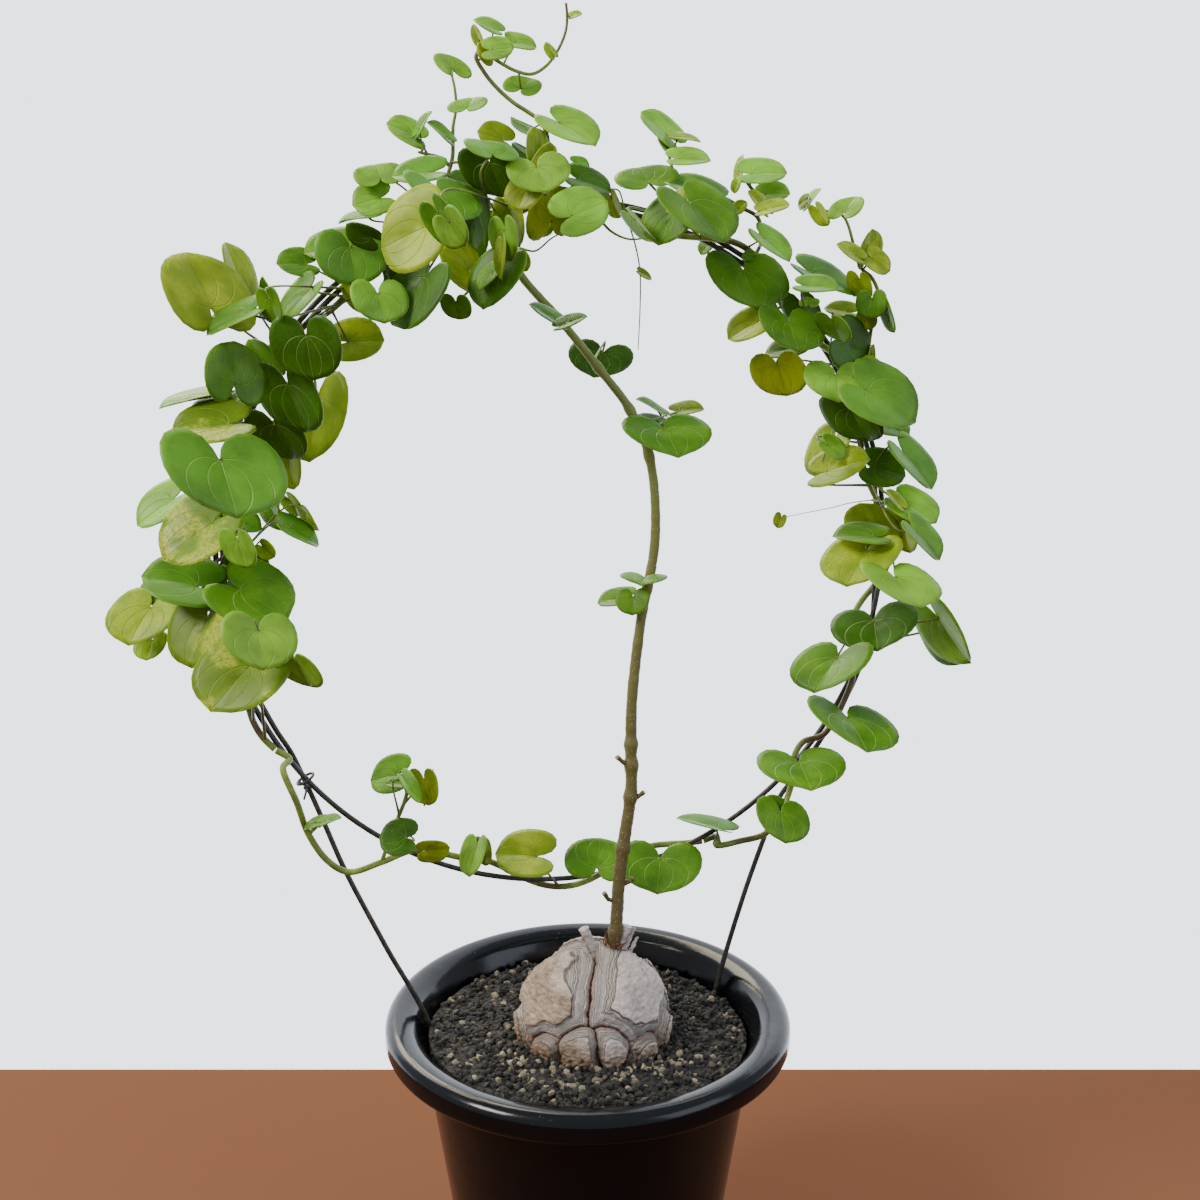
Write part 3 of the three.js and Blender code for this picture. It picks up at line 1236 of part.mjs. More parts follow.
function petiolePath(leaf, stemPlaces, taken) {
  const { notch, share } = standing(leaf, leaf.forward);
  const sign = Math.sign(leaf.layer);
  const bases = stemPlaces
    .filter((place) => taken.every((other) => other.distanceTo(place) > BASE_SPACING))
    .map((place) => ({ place, far: place.distanceTo(notch) + (sign * forwardOf(place) < 0 ? 10 : 0) }))
    .sort((one, two) => one.far - two.far)
    .slice(0, BASES_TRIED);
  const alongWay = leaf.along.clone().normalize();
  let best = null;
  for (const { place, far } of bases) {
    const toBase = place.clone().sub(notch).normalize();
    const behind = Math.sign(toBase.dot(leaf.facing)) || -1;
    const bent = BENDS.flatMap((back) =>
      SIDEWAYS.map((aside) => [
        notch,
        notch
          .clone()
          .addScaledVector(leaf.along, -back * share)
          .addScaledVector(leaf.across, aside * share)
          .addScaledVector(leaf.facing, (behind * back * leaf.width) / 2),
        place,
      ]),
    );
    const straight = toBase.dot(alongWay) < STRAIGHT_LIMIT ? [[notch, place]] : [];
    for (const path of [...straight, ...bent]) {
      const cost = far + COSTS.bend * (path.length - 2);
      if (!best || cost < best.cost) {
        const whole = cost + crossingCost(path, leaf);
        best = !best || whole < best.cost ? { path, cost: whole } : best;
      }
    }
  }
  taken.push(best.path.at(-1));
  return best.path;
}

function leafShape(leaf, [notch, ...path]) {
  const outline = bladeOutline(leaf);
  const stand = standing(leaf, leaf.forward);
  const last = outline.length - 1;
  const points = [LEAF_THICK / 2, -LEAF_THICK / 2].flatMap((lift) =>
    outline.map(([across, along]) => bladePoint(leaf, stand, across, along, lift)),
  );
  const count = outline.length;
  const top = fanFaces(last);
  const faces = [...top, ...top.map(([a, b, c]) => [a + count, c + count, b + count])];
  for (let i = 0; i < last; i += 1) {
    faces.push([i, i + count, i + 1 + count], [i, i + 1 + count, i + 1]);
  }
  // The petiole is three-sided from its bend on, and slim where it ends inside the stem
  let way = leaf.across.clone().cross(leaf.facing).normalize();
  let from = notch;
  const side = leaf.across.clone().normalize();
  const [topLeft, lowLeft, lowRight, topRight] = [last, last + count, count, 0];
  let ring = null;
  const ahead = path.at(-1).clone().sub(path[0]).normalize();
  for (const [i, at] of path.entries()) {
    const before = at.clone().sub(from).normalize();
    const next = i === 0 && before.dot(ahead) > STEEPEST_BEND ? ahead : before;
    side.applyQuaternion(new THREE.Quaternion().setFromUnitVectors(way, next));
    [way, from] = [next, at];
    const over = way.clone().cross(side).normalize();
    const radius = i === path.length - 1 ? PETIOLE_END : PETIOLE_RADIUS;
    const [a, b, c] = [90, 210, 330].map((turn) => {
      const out = side.clone().multiplyScalar(Math.cos(turn * DEGREE)).addScaledVector(over, Math.sin(turn * DEGREE));
      return points.push(at.clone().addScaledVector(out, radius)) - 1;
    });
    if (ring) {
      const [d, e, f] = ring;
      faces.push([d, e, b], [d, b, a], [e, f, c], [e, c, b], [f, d, a], [f, a, c]);
    } else {
      faces.push([topLeft, lowLeft, b], [topLeft, b, a], [lowLeft, lowRight, c], [lowLeft, c, b]);
      faces.push([lowRight, topRight, a], [lowRight, a, c], [topRight, topLeft, a]);
    }
    ring = [a, b, c];
  }
  faces.push(ring);
  return fromFaces(points, faces);
}

for (const [name, { stems }] of Object.entries(SPRAYS)) {
  const stemShapes = stems.map(({ points, radius, sides, steps }) =>
    Array.isArray(radius) ? taperedBar(points, radius, sides, steps) : bar(points, radius, sides, steps),
  );
  const stemPlaces = lines.filter((place) => place.spray === name).map((place) => place.point);
  const taken = [];
  const leafShapes = leaves
    .filter((leaf) => leaf.spray === name)
    .map((leaf) => {
      const path = petiolePath(leaf, stemPlaces, taken);
      petiolePlaces.push(...linePlaces(placesAlong(path, PETIOLE_STEP), PETIOLE_RADIUS, name));
      return leafShape(leaf, path);
    });
  addPiece(name, joined([...stemShapes, ...leafShapes]), name === "main_stem" ? 0x6f7040 : 0x6b8c2a, 0.55);
}

export default plant;
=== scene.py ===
"""A potted tortoise plant in Blender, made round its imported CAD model.

Millimetres while a shape is made and metres in its mesh, +Z up, origin at the middle of the pot's base.
"""

import math
import random

import bmesh
import bpy
import numpy as np
from mathutils import Matrix, Vector, noise


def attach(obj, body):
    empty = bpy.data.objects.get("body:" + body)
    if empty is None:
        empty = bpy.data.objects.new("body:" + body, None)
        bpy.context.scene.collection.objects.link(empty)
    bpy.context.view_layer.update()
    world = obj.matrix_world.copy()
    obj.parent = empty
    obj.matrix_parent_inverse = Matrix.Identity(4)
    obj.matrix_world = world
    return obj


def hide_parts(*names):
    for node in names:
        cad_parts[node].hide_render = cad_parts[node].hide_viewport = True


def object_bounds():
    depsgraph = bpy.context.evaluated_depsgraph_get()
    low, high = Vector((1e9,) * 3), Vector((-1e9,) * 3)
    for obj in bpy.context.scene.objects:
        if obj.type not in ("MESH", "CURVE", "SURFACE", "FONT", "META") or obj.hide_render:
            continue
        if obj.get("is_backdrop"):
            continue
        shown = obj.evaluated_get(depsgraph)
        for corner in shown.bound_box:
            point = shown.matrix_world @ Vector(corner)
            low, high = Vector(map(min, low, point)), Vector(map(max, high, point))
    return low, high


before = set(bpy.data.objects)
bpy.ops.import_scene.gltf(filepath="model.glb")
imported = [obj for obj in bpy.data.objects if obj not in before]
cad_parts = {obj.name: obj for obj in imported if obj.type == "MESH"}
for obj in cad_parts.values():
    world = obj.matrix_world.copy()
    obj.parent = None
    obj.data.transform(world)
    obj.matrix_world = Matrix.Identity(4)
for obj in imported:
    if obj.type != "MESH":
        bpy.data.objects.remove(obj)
cad_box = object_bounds()


# The view
# The plant is seen from the front and a little above. Many places on it are given as they are seen from
# here: two picture coordinates in a square frame 1200 wide, and how far the place is forward of the trellis.
MM = 0.001
EYE = Vector((4.5, -510.2, 404.7))
EYE_PITCH = math.radians(13.12)
FOCAL = 1500
FRAME_MIDDLE = 600
RING_MIDDLE = Vector((-7, 26, 298))
RING_RADIUS = 124.5
RING_TURN = math.radians(14.7)  # right side farther back
RING_LEAN = math.radians(3.5)  # top farther back

camera_settings = bpy.data.cameras.new("camera")
camera_settings.lens = 45
camera_settings.sensor_width = 36
camera = bpy.data.objects.new("camera", camera_settings)
camera.location = EYE * MM
camera.rotation_euler = (math.radians(90) - EYE_PITCH, 0, 0)
bpy.context.scene.collection.objects.link(camera)
bpy.context.scene.camera = camera

ring_across = Vector((math.cos(RING_TURN), math.sin(RING_TURN), 0))
level_facing = Vector((math.sin(RING_TURN), -math.cos(RING_TURN), 0))
ring_facing = level_facing * math.cos(RING_LEAN) + Vector((0, 0, math.sin(RING_LEAN)))
ring_up = ring_facing.cross(ring_across)
eye_right = Vector((1, 0, 0))
eye_ahead = Vector((0, math.cos(EYE_PITCH), -math.sin(EYE_PITCH)))
eye_up = Vector((0, math.sin(EYE_PITCH), math.cos(EYE_PITCH)))


def on_ring(angle, radius, forward=0):
    turn = math.radians(angle)
    flat = ring_across * math.cos(turn) + ring_up * math.sin(turn)
    return RING_MIDDLE + flat * radius + ring_facing * forward


def forward_of(point):
    return (point - RING_MIDDLE).dot(ring_facing)


def seen_at(picture_x, picture_y, forward=0):
    ray = (
        eye_ahead
        + eye_right * ((picture_x - FRAME_MIDDLE) / FOCAL)
        + eye_up * ((FRAME_MIDDLE - picture_y) / FOCAL)
    )
    return EYE + ray * ((forward - forward_of(EYE)) / ray.dot(ring_facing))


def route(places):
    return [seen_at(*place) for place in places]


# The pot
# One moulded nursery pot of glossy black plastic, with a wide rolled rim and four drain holes. Dust from the
# gravel lies on the rim.
POT_HEIGHT = 130
RIM_RADIUS = 75
MOUTH_RADIUS = 63.8
SHOULDER_RADIUS = 61.2
SHOULDER_HEIGHT = 118
BASE_RADIUS = 44
POT_WALL = 1.6
POT_FLOOR = 2
POT_STEPS = 144
DRAIN_HOLES = {"count": 4, "radius": 4.5, "circle": 27}


def srgb(code):
    """A linear colour from an sRGB hex value."""
    shares = [((code >> shift) & 255) / 255 for shift in (16, 8, 0)]
    return tuple(s / 12.92 if s < 0.04045 else ((s + 0.055) / 1.055) ** 2.4 for s in shares) + (1,)


def new_material(name, **values):
    """A material and its main shader, whose sockets take the values."""
    material = bpy.data.materials.new(name)
    material.use_nodes = True
    shader = material.node_tree.nodes["Principled BSDF"]
    for key, value in values.items():
        shader.inputs[key.replace("_", " ").title().replace("Ior", "IOR")].default_value = value
    return material, shader


def set_input(material, node, key, value):
    """Gives an input a value, or links an output to it. A node as the value means its first live output."""
    if isinstance(value, bpy.types.Node):
        value = next(output for output in value.outputs if output.enabled)
    if isinstance(value, bpy.types.NodeSocket):
        material.node_tree.links.new(value, node.inputs[key])
    else:
        node.inputs[key].default_value = value


def add_node(material, kind, inputs=(), stops=(), **settings):
    """A node with its inputs and settings and, on a colour ramp, its stops as (place, colour)."""
    node = material.node_tree.nodes.new("ShaderNode" + kind)
    for key, value in settings.items():
        setattr(node, key, value)
    for key, value in dict(inputs).items():
        set_input(material, node, key, value)
    for k, (place, colour) in enumerate(stops):
        elements = node.color_ramp.elements
        element = elements[k] if k < len(elements) else elements.new(place)
        element.position = place
        element.color = colour
    return node


def grey(share):
    return (share, share, share, 1)


def every(size):
    """The scale of a pattern whose forms are about so many millimetres across."""
    return 1 / (size * MM)


def add_piece(name, shape, material, slot, *nodes, smooth=True):
    """A piece from a bmesh in millimetres. It rides on the one body and stands for the CAD nodes."""
    bmesh.ops.scale(shape, vec=(MM, MM, MM), verts=shape.verts)
    mesh = bpy.data.meshes.new(name)
    shape.to_mesh(mesh)
    shape.free()
    mesh.materials.append(material)
    if smooth:
        mesh.shade_smooth()
    piece = bpy.data.objects.new(name, mesh)
    bpy.context.scene.collection.objects.link(piece)
    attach(piece, "root")
    if nodes:
        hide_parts(*nodes)
    return piece


def lathe(profile, steps):
    """A closed round shape from (radius, height) places that start and end on the axis."""
    shape = bmesh.new()
    corners = [shape.verts.new((radius, 0, height)) for radius, height in profile]
    edges = [shape.edges.new(pair) for pair in zip(corners, corners[1:])]
    bmesh.ops.spin(
        shape,
        geom=corners + edges,
        axis=(0, 0, 1),
        cent=(0, 0, 0),
        angle=2 * math.pi,
        steps=steps,
        use_merge=True,
    )
    bmesh.ops.remove_doubles(shape, verts=shape.verts, dist=0.001)
    bmesh.ops.recalc_face_normals(shape, faces=shape.faces)
    return shape


def arc(middle_radius, middle_height, radius, start, end, count):
    """Places on a quarter or so of a circle in a profile, from one angle to another in degrees."""
    turns = [math.radians(start + (end - start) * k / count) for k in range(count + 1)]
    return [(middle_radius + radius * math.cos(t), middle_height + radius * math.sin(t)) for t in turns]


def inside_radius(height):
    return BASE_RADIUS + (SHOULDER_RADIUS - BASE_RADIUS) * height / SHOULDER_HEIGHT - POT_WALL


pot_profile = [
    (0, 0),
    (BASE_RADIUS - 1.2, 0),
    *arc(BASE_RADIUS - 1, 1, 1, -90, 0, 4),
    (BASE_RADIUS + 8.6, 59),
    (SHOULDER_RADIUS - 0.1, SHOULDER_HEIGHT - 1),
    *arc(SHOULDER_RADIUS + 1.3, SHOULDER_HEIGHT, 1.2, 180, 90, 4),
    (RIM_RADIUS - 3.2, SHOULDER_HEIGHT + 1.7),
    *arc(RIM_RADIUS - 2.6, SHOULDER_HEIGHT + 4.3, 2.6, -80, 0, 6),
    *arc(RIM_RADIUS - 4.2, POT_HEIGHT - 4.2, 4.2, 0, 90, 10),
    (RIM_RADIUS - 8, POT_HEIGHT - 0.4),
    (MOUTH_RADIUS + 1.6, POT_HEIGHT - 1.6),
    (MOUTH_RADIUS + 0.3, POT_HEIGHT - 2.4),
    (MOUTH_RADIUS - 0.4, POT_HEIGHT - 3.6),
    (inside_radius(SHOULDER_HEIGHT + 2) + 0.6, SHOULDER_HEIGHT + 3),
    (inside_radius(SHOULDER_HEIGHT), SHOULDER_HEIGHT - 2),
    (inside_radius(POT_FLOOR), POT_FLOOR),
    (0, POT_FLOOR),
]
pot_shape = lathe(pot_profile, POT_STEPS)

# Injection-moulded polypropylene: a deep gloss with faint ripples, and dust where it faces up
pot_plastic, pot_shader = new_material(
    "moulded_black_polypropylene", roughness=0.27, ior=1.49, specular_ior_level=0.26
)
place = add_node(pot_plastic, "TexCoord").outputs["Object"]
flow = add_node(pot_plastic, "TexNoise", {"Vector": place, "Scale": every(16.7), "Detail": 3})
specks = add_node(
    pot_plastic, "TexNoise", {"Vector": place, "Scale": every(1.11), "Detail": 4, "Roughness": 0.7}
)
patches = add_node(pot_plastic, "TexNoise", {"Vector": place, "Scale": every(22.2), "Detail": 3})
facing_up = add_node(
    pot_plastic, "SeparateXYZ", {"Vector": add_node(pot_plastic, "NewGeometry").outputs["Normal"]}
)
dusty = add_node(pot_plastic, "MapRange", {"Value": facing_up.outputs["Z"], "From Min": 0.2, "From Max": 1})
speck_mask = add_node(pot_plastic, "ValToRGB", {"Fac": specks}, [(0.64, grey(0)), (0.7, grey(0.8))])
patch_mask = add_node(pot_plastic, "ValToRGB", {"Fac": patches}, [(0.45, grey(0.05)), (0.7, grey(1))])
mask = add_node(pot_plastic, "Math", {0: speck_mask, 1: patch_mask}, operation="MULTIPLY")
mask = add_node(pot_plastic, "Math", {0: mask, 1: dusty}, operation="MULTIPLY")
tone = add_node(
    pot_plastic, "Mix", {"Factor": mask, "A": srgb(0x05070B), "B": srgb(0x8D8577)}, data_type="RGBA"
)
film = add_node(pot_plastic, "MapRange", {"Value": mask, "To Min": 0.17, "To Max": 0.75})
set_input(pot_plastic, pot_shader, "Base Color", tone)
set_input(pot_plastic, pot_shader, "Roughness", film)
pot_relief = add_node(pot_plastic, "Bump", {"Height": flow, "Distance": 0.25 * MM})
set_input(pot_plastic, pot_shader, "Normal", pot_relief)
pot = add_piece("pot_shell", pot_shape, pot_plastic, "pot_plastic", "pot")

cutters = bmesh.new()
for i in range(DRAIN_HOLES["count"]):
    turn = (i + 0.5) / DRAIN_HOLES["count"] * 2 * math.pi
    middle = Vector((math.cos(turn), math.sin(turn), 0)) * DRAIN_HOLES["circle"]
    bmesh.ops.create_cone(
        cutters,
        cap_ends=True,
        segments=24,
        radius1=DRAIN_HOLES["radius"],
        radius2=DRAIN_HOLES["radius"],
        depth=5 * POT_FLOOR,
        matrix=Matrix.Translation(middle),
    )
bmesh.ops.scale(cutters, vec=(MM, MM, MM), verts=cutters.verts)
cutter_mesh = bpy.data.meshes.new("drain_cutters")
cutters.to_mesh(cutter_mesh)
cutters.free()
cutter = bpy.data.objects.new("drain_cutters", cutter_mesh)
bpy.context.scene.collection.objects.link(cutter)
drain = pot.modifiers.new("drain", "BOOLEAN")
drain.operation = "DIFFERENCE"
drain.object = cutter
holed = bpy.data.meshes.new_from_object(pot.evaluated_get(bpy.context.evaluated_depsgraph_get()))
pot.modifiers.remove(drain)
pot.data = holed
bpy.data.objects.remove(cutter)


# The gravel
# A dark volcanic gravel of 1 to 3 mm grains with some tan pumice, heaped a little round the caudex. Each
# grain is a chipped cube, and a bed of the same gravel shows in the gaps.
SOIL_HEIGHT = 122
CAUDEX_MIDDLE = Vector((2, -5, 129.5))
CAUDEX_RADIUS = 29.3
CAUDEX_TALL = 28
GRAIN_SPACING = 2.4
SOIL_EDGE = 58.3
LOOSE_GRAINS = 620  # that lie about on the others
HEAP_HEIGHT = 1.6
HEAP_SPREAD = 16
GRAIN_TONES = [  # each with its share of the grains
    (0.5, 0x242322),
    (0.26, 0x171716),
    (0.13, 0x33302C),
    (0.06, 0x544D42),
    (0.035, 0x7A6F5E),
    (0.015, 0x958A74),
]
PUMICE_SHARE = 0.3  # of the grains that lie just in front of the caudex
PUMICE_TONES = [(0.5, 0x7A6F5E), (0.5, 0x958A74)]
chance = random.Random(11)


def soil_top(x, y):
    from_caudex = math.hypot(x - CAUDEX_MIDDLE.x, y - CAUDEX_MIDDLE.y)
    heap = HEAP_HEIGHT * math.exp(-(((from_caudex - CAUDEX_RADIUS) / HEAP_SPREAD) ** 2))
    grain = 0.55 * math.sin(0.9 * x + 1.3 * y) * math.cos(1.1 * x - 0.7 * y)
    return SOIL_HEIGHT - 1.2 + heap - 0.022 * x - 0.03 * y + grain


def grain_template(seed):
    """One chipped grain, a unit across: a cube with its edges broken and its corners pushed about."""
    shape = bmesh.new()
    bmesh.ops.create_cube(shape, size=0.86)
    bmesh.ops.bevel(
        shape,
        geom=shape.edges[:],
        offset=0.22,
        offset_type="OFFSET",
        segments=1,
        profile=0.5,
        affect="EDGES",
        material=-1,
    )
    push = random.Random(seed)
    for corner in shape.verts:
        corner.co += Vector([push.uniform(-0.09, 0.09) for _ in range(3)])
    mesh = bpy.data.meshes.new("grain")
    shape.to_mesh(mesh)
    shape.free()
    return mesh


def grain_places():
    """Where grains lie: a loose hexagonal net over the gravel, then more lying about on it."""
    rows = int(2 * SOIL_EDGE / (GRAIN_SPACING * 0.866)) + 1
    for row in range(rows):
        for column in range(int(2 * SOIL_EDGE / GRAIN_SPACING) + 1):
            x = -SOIL_EDGE + (column + (row % 2) / 2) * GRAIN_SPACING + chance.uniform(-0.7, 0.7)
            y = -SOIL_EDGE + row * GRAIN_SPACING * 0.866 + chance.uniform(-0.7, 0.7)
            yield x, y, chance.uniform(-0.7, 0.5), chance.uniform(2.1, 3.3)
    for _ in range(LOOSE_GRAINS):
        turn = chance.uniform(0, 2 * math.pi)
        out = SOIL_EDGE * math.sqrt(chance.uniform(0.1, 1))
        size = chance.uniform(1.3, 2.9)
        yield out * math.cos(turn), out * math.sin(turn), 0.5 + 0.4 * size, size


def pick(tones):
    share = chance.random()
    for part, code in tones:
        share -= part
        if share <= 0:
            return srgb(code)
    return srgb(tones[0][1])


templates = [grain_template(seed) for seed in range(8)]
grains = bmesh.new()
tint_of = grains.loops.layers.float_color.new("grain_tint")
for x, y, above, size in grain_places():
    from_caudex = math.hypot(x - CAUDEX_MIDDLE.x, y - CAUDEX_MIDDLE.y)
    if math.hypot(x, y) > SOIL_EDGE or from_caudex < CAUDEX_RADIUS - 2.5:
        continue
    first_face = len(grains.faces)
    first_corner = len(grains.verts)
    grains.from_mesh(templates[chance.randrange(8)])
    grains.verts.ensure_lookup_table()
    grains.faces.ensure_lookup_table()
    turned = Matrix.Rotation(chance.uniform(0, 6.3), 3, Vector([chance.gauss(0, 1) for _ in range(3)]))
    sizes = Vector((size, size * chance.uniform(0.7, 1), size * chance.uniform(0.6, 0.9)))
    middle = Vector((x, y, soil_top(x, y) + above))
    for corner in grains.verts[first_corner:]:
        corner.co = middle + turned @ (corner.co * sizes)
    in_front = y < CAUDEX_MIDDLE.y - 18 and from_caudex < CAUDEX_RADIUS + 13
    tint = pick(PUMICE_TONES if in_front and chance.random() < PUMICE_SHARE else GRAIN_TONES)
    for face in grains.faces[first_face:]:
        for corner in face.loops:
            corner[tint_of] = tint

# Crushed lava and pumice: porous, dull, each grain in its own tone with a dusting of fines
gravel_stone, gravel_shader = new_material("crushed_lava_gravel", roughness=0.93, ior=1.5)
place = add_node(gravel_stone, "TexCoord").outputs["Object"]
pores = add_node(
    gravel_stone, "TexNoise", {"Vector": place, "Scale": every(0.556), "Detail": 5, "Roughness": 0.7}
)
fines = add_node(gravel_stone, "TexNoise", {"Vector": place, "Scale": every(3.85), "Detail": 3})
tint = add_node(gravel_stone, "Attribute", attribute_name="grain_tint")
dust = add_node(gravel_stone, "ValToRGB", {"Fac": fines}, [(0.5, grey(0)), (0.75, grey(0.35))])
dusted = add_node(
    gravel_stone, "Mix", {"Factor": dust, "A": tint.outputs["Color"], "B": srgb(0x6F665A)}, data_type="RGBA"
)
speckle = add_node(gravel_stone, "ValToRGB", {"Fac": pores}, [(0.3, grey(0.55)), (0.7, grey(1.25))])
stone_tone = add_node(
    gravel_stone, "Mix", {"Factor": 1.0, "A": dusted, "B": speckle}, data_type="RGBA", blend_type="MULTIPLY"
)
set_input(gravel_stone, gravel_shader, "Base Color", stone_tone)
stone_relief = add_node(gravel_stone, "Bump", {"Height": pores, "Distance": 0.35 * MM})
set_input(gravel_stone, gravel_shader, "Normal", stone_relief)
add_piece("gravel_grains", grains, gravel_stone, "gravel", smooth=False)

# Under the grains: the same gravel, finer, and painted darker than the grains as shade in the gaps between
# them
gravel_bed, bed_shader = new_material("gravel_bed", roughness=0.97)
place = add_node(gravel_bed, "TexCoord").outputs["Object"]
stones = add_node(gravel_bed, "TexVoronoi", {"Vector": place, "Scale": every(2.63)})
bed_tone_with_painted_shade = add_node(gravel_bed, "ValToRGB", {"Fac": stones}, [(0.1, srgb(0x2B2723)), (0.8, srgb(0x0E0D0C))])
set_input(gravel_bed, bed_shader, "Base Color", bed_tone_with_painted_shade)
bed_relief = add_node(gravel_bed, "Bump", {"Height": stones, "Distance": 1.2 * MM})
set_input(gravel_bed, bed_shader, "Normal", bed_relief)
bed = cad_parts["soil"]
bed.data.materials.clear()
bed.data.materials.append(gravel_bed)


# The caudex
# A low dome of cork, grown in plates that crack apart and weather into stepped edges, pale where it is dry
# and red-brown down in the cracks. Six dry ends of old stems stand on its crown.
PLATES = [  # azimuth, height and how wide each plate is, in degrees and in shares of the usual width
    (215, 28, 1.25), (322, 25, 1.3), (95, 24, 1.15), (30, 8, 0.9), (150, 6, 0.9), (258, -4, 0.72),
    (286, 2, 0.62), (230, -6, 0.66), (315, -6, 0.7), (345, -2, 0.66), (190, -4, 0.7), (60, -6, 0.7),
    (120, -8, 0.7),
]
CRACK_DEPTH = 1.7
CRACK_WIDTH = 0.03
SLOPE_DEPTH = 2.6  # where a plate's worn side falls to a crack
SLOPE_WIDTH = 0.4
EDGE_DROP = 0.75  # from a plate's flat face to its worn side
FACE_SHARE = 0.945  # how far out the flat of a plate's face lies
FLATTEST = 0.5  # how far the flat reaches at most, as an angle
LAYERS_PER_UNIT = 34  # terraces in the worn side
LINES_PER_UNIT = 44  # years of cork drawn on it
FLAT_FOOT = -0.72
CAUDEX_FINENESS = 7
CORK_GRAIN = 0.35  # how rough the cork is
MOST_RAISED = 0.2  # how far a flake stands out
crown_way = Vector((0.24, 0.04, 0.97)).normalized()
noise.seed_set(11)  # or else the noise vectors differ each time


def direction(azimuth, height):
    turn, rise = math.radians(azimuth), math.radians(height)
    return Vector((math.cos(rise) * math.cos(turn), math.cos(rise) * math.sin(turn), math.sin(rise)))


def on_caudex(way, above=0):
    reach = CAUDEX_RADIUS + above
    return CAUDEX_MIDDLE + Vector((way.x * reach, way.y * reach, way.z * (CAUDEX_TALL + above)))


def smoothstep(value, low, high):
    share = min(max((value - low) / (high - low), 0), 1)
    return share * share * (3 - 2 * share)


plate_middles = [(direction(azimuth, height), wide) for azimuth, height, wide in PLATES]


def cork_at(way):
    """How deep the cork is cut at a place, and how far it is from a crack, the stem and a plate's edge."""
    bent = (way + 0.06 * noise.noise_vector(way * 2.7) + 0.02 * noise.noise_vector(way * 11)).normalized()
    reaches = sorted((bent.angle(middle) / wide, k) for k, (middle, wide) in enumerate(plate_middles))
    apart = reaches[1][0] - reaches[0][0] + 0.014 * noise.noise(way * 26)
    nearest_angle = bent.angle(plate_middles[reaches[0][1]][0])
    big = plate_middles[reaches[0][1]][1] > 0.8
    edge = SLOPE_WIDTH * (1 + 0.45 * noise.noise(way * 3.1)) * (1 if big else 0.55)
    share = min(apart / edge, 2)
    flat = (1 - min(FACE_SHARE / math.cos(min(nearest_angle, FLATTEST)), 1)) * CAUDEX_RADIUS if big else 0
    layer = apart * LAYERS_PER_UNIT + 0.7 * noise.noise(way * 8)
    terrace = 0.3 * noise.noise(Vector((layer, 0.4 * math.floor(5 * noise.noise(way * 2)), 0)))
    side = SLOPE_DEPTH * max(1 - share, 0) ** 0.8 + EDGE_DROP * (1 - smoothstep(share, 0.9, 1.02))
    side += terrace if share < 1 else 0
    craggy = 1 - smoothstep(way.z, -0.2, 0.15)
    flakes = CORK_GRAIN * (1 + 1.3 * craggy) * noise.fractal(way * 22, 1.0, 2.1, 5)
    flakes += 0.35 * noise.noise(way * 7) + 1.3 * craggy * abs(noise.noise(way * 11))
    above_ground = smoothstep(way.z, -0.42, -0.2)
    beside_stem = smoothstep(way.angle(crown_way), 0.16, 0.34)
    crack = math.exp(-((apart / CRACK_WIDTH) ** 2))
    cut = above_ground * beside_stem * (CRACK_DEPTH * crack + side) + beside_stem * max(flat, 0)
    return cut + flakes, apart, beside_stem, share


caudex_shape = bmesh.new()
bmesh.ops.create_icosphere(caudex_shape, subdivisions=CAUDEX_FINENESS, radius=1)
cork_marks = caudex_shape.verts.layers.float_color.new("cork_marks")
for corner in caudex_shape.verts:
    way = corner.co.normalized()
    cut, apart, beside_stem, share = cork_at(way)
    sunny = smoothstep(way.x + 0.35 * way.z + 0.25 * noise.noise(way * 3), -0.35, 0.35)
    corner[cork_marks] = (apart, beside_stem, sunny, share)
    way.z = max(way.z, FLAT_FOOT)
    corner.co = on_caudex(way, -max(cut, -MOST_RAISED))


def smooth_path(points, step=1.0):
    """A line through points, round at each one, with a place about every step."""
    ends = [2 * points[0] - points[1], *points, 2 * points[-1] - points[-2]]
    path = []
    for before, start, end, after in zip(ends, ends[1:], ends[2:], ends[3:]):
        gaps = [max((q - p).length ** 0.5, 0.01) for p, q in ((before, start), (start, end), (end, after))]
        near = (start - before) / gaps[0] - (end - before) / (gaps[0] + gaps[1]) + (end - start) / gaps[1]
        far = (end - start) / gaps[1] - (after - start) / (gaps[1] + gaps[2]) + (after - end) / gaps[2]
        near, far = near * gaps[1], far * gaps[1]
        count = max(2, round((end - start).length / step))
        for t in (k / count for k in range(count)):
            square, cube = t * t, t * t * t
            path.append(
                start * (2 * cube - 3 * square + 1)
                + near * (cube - 2 * square + t)
                + end * (3 * square - 2 * cube)
                + far * (cube - square)
            )
    return [*path, points[-1]]


def add_tube(shape, path, radii, sides=8, closed=False):
    """A round tube along a path, added to a bmesh. Its radius goes evenly through the radii."""
    curve = bpy.data.curves.new("tube", "CURVE")
    curve.dimensions = "3D"
    curve.bevel_depth = 1
    curve.bevel_resolution = sides // 2 - 2
    curve.use_fill_caps = True
    line = curve.splines.new("POLY")
    line.points.add(len(path) - 1)
    line.use_cyclic_u = closed
    for k, (point, place) in enumerate(zip(line.points, path)):
        share = k / (len(path) - 1) * (len(radii) - 1)
        low = min(int(share), len(radii) - 2) if len(radii) > 1 else 0
        high = min(low + 1, len(radii) - 1)
        point.co = (*place, 1)
        point.radius = radii[low] + (radii[high] - radii[low]) * (share - low)
    holder = bpy.data.objects.new("tube", curve)
    mesh = bpy.data.meshes.new_from_object(holder)
    shape.from_mesh(mesh)
    bpy.data.objects.remove(holder)
    bpy.data.curves.remove(curve)
    bpy.data.meshes.remove(mesh)


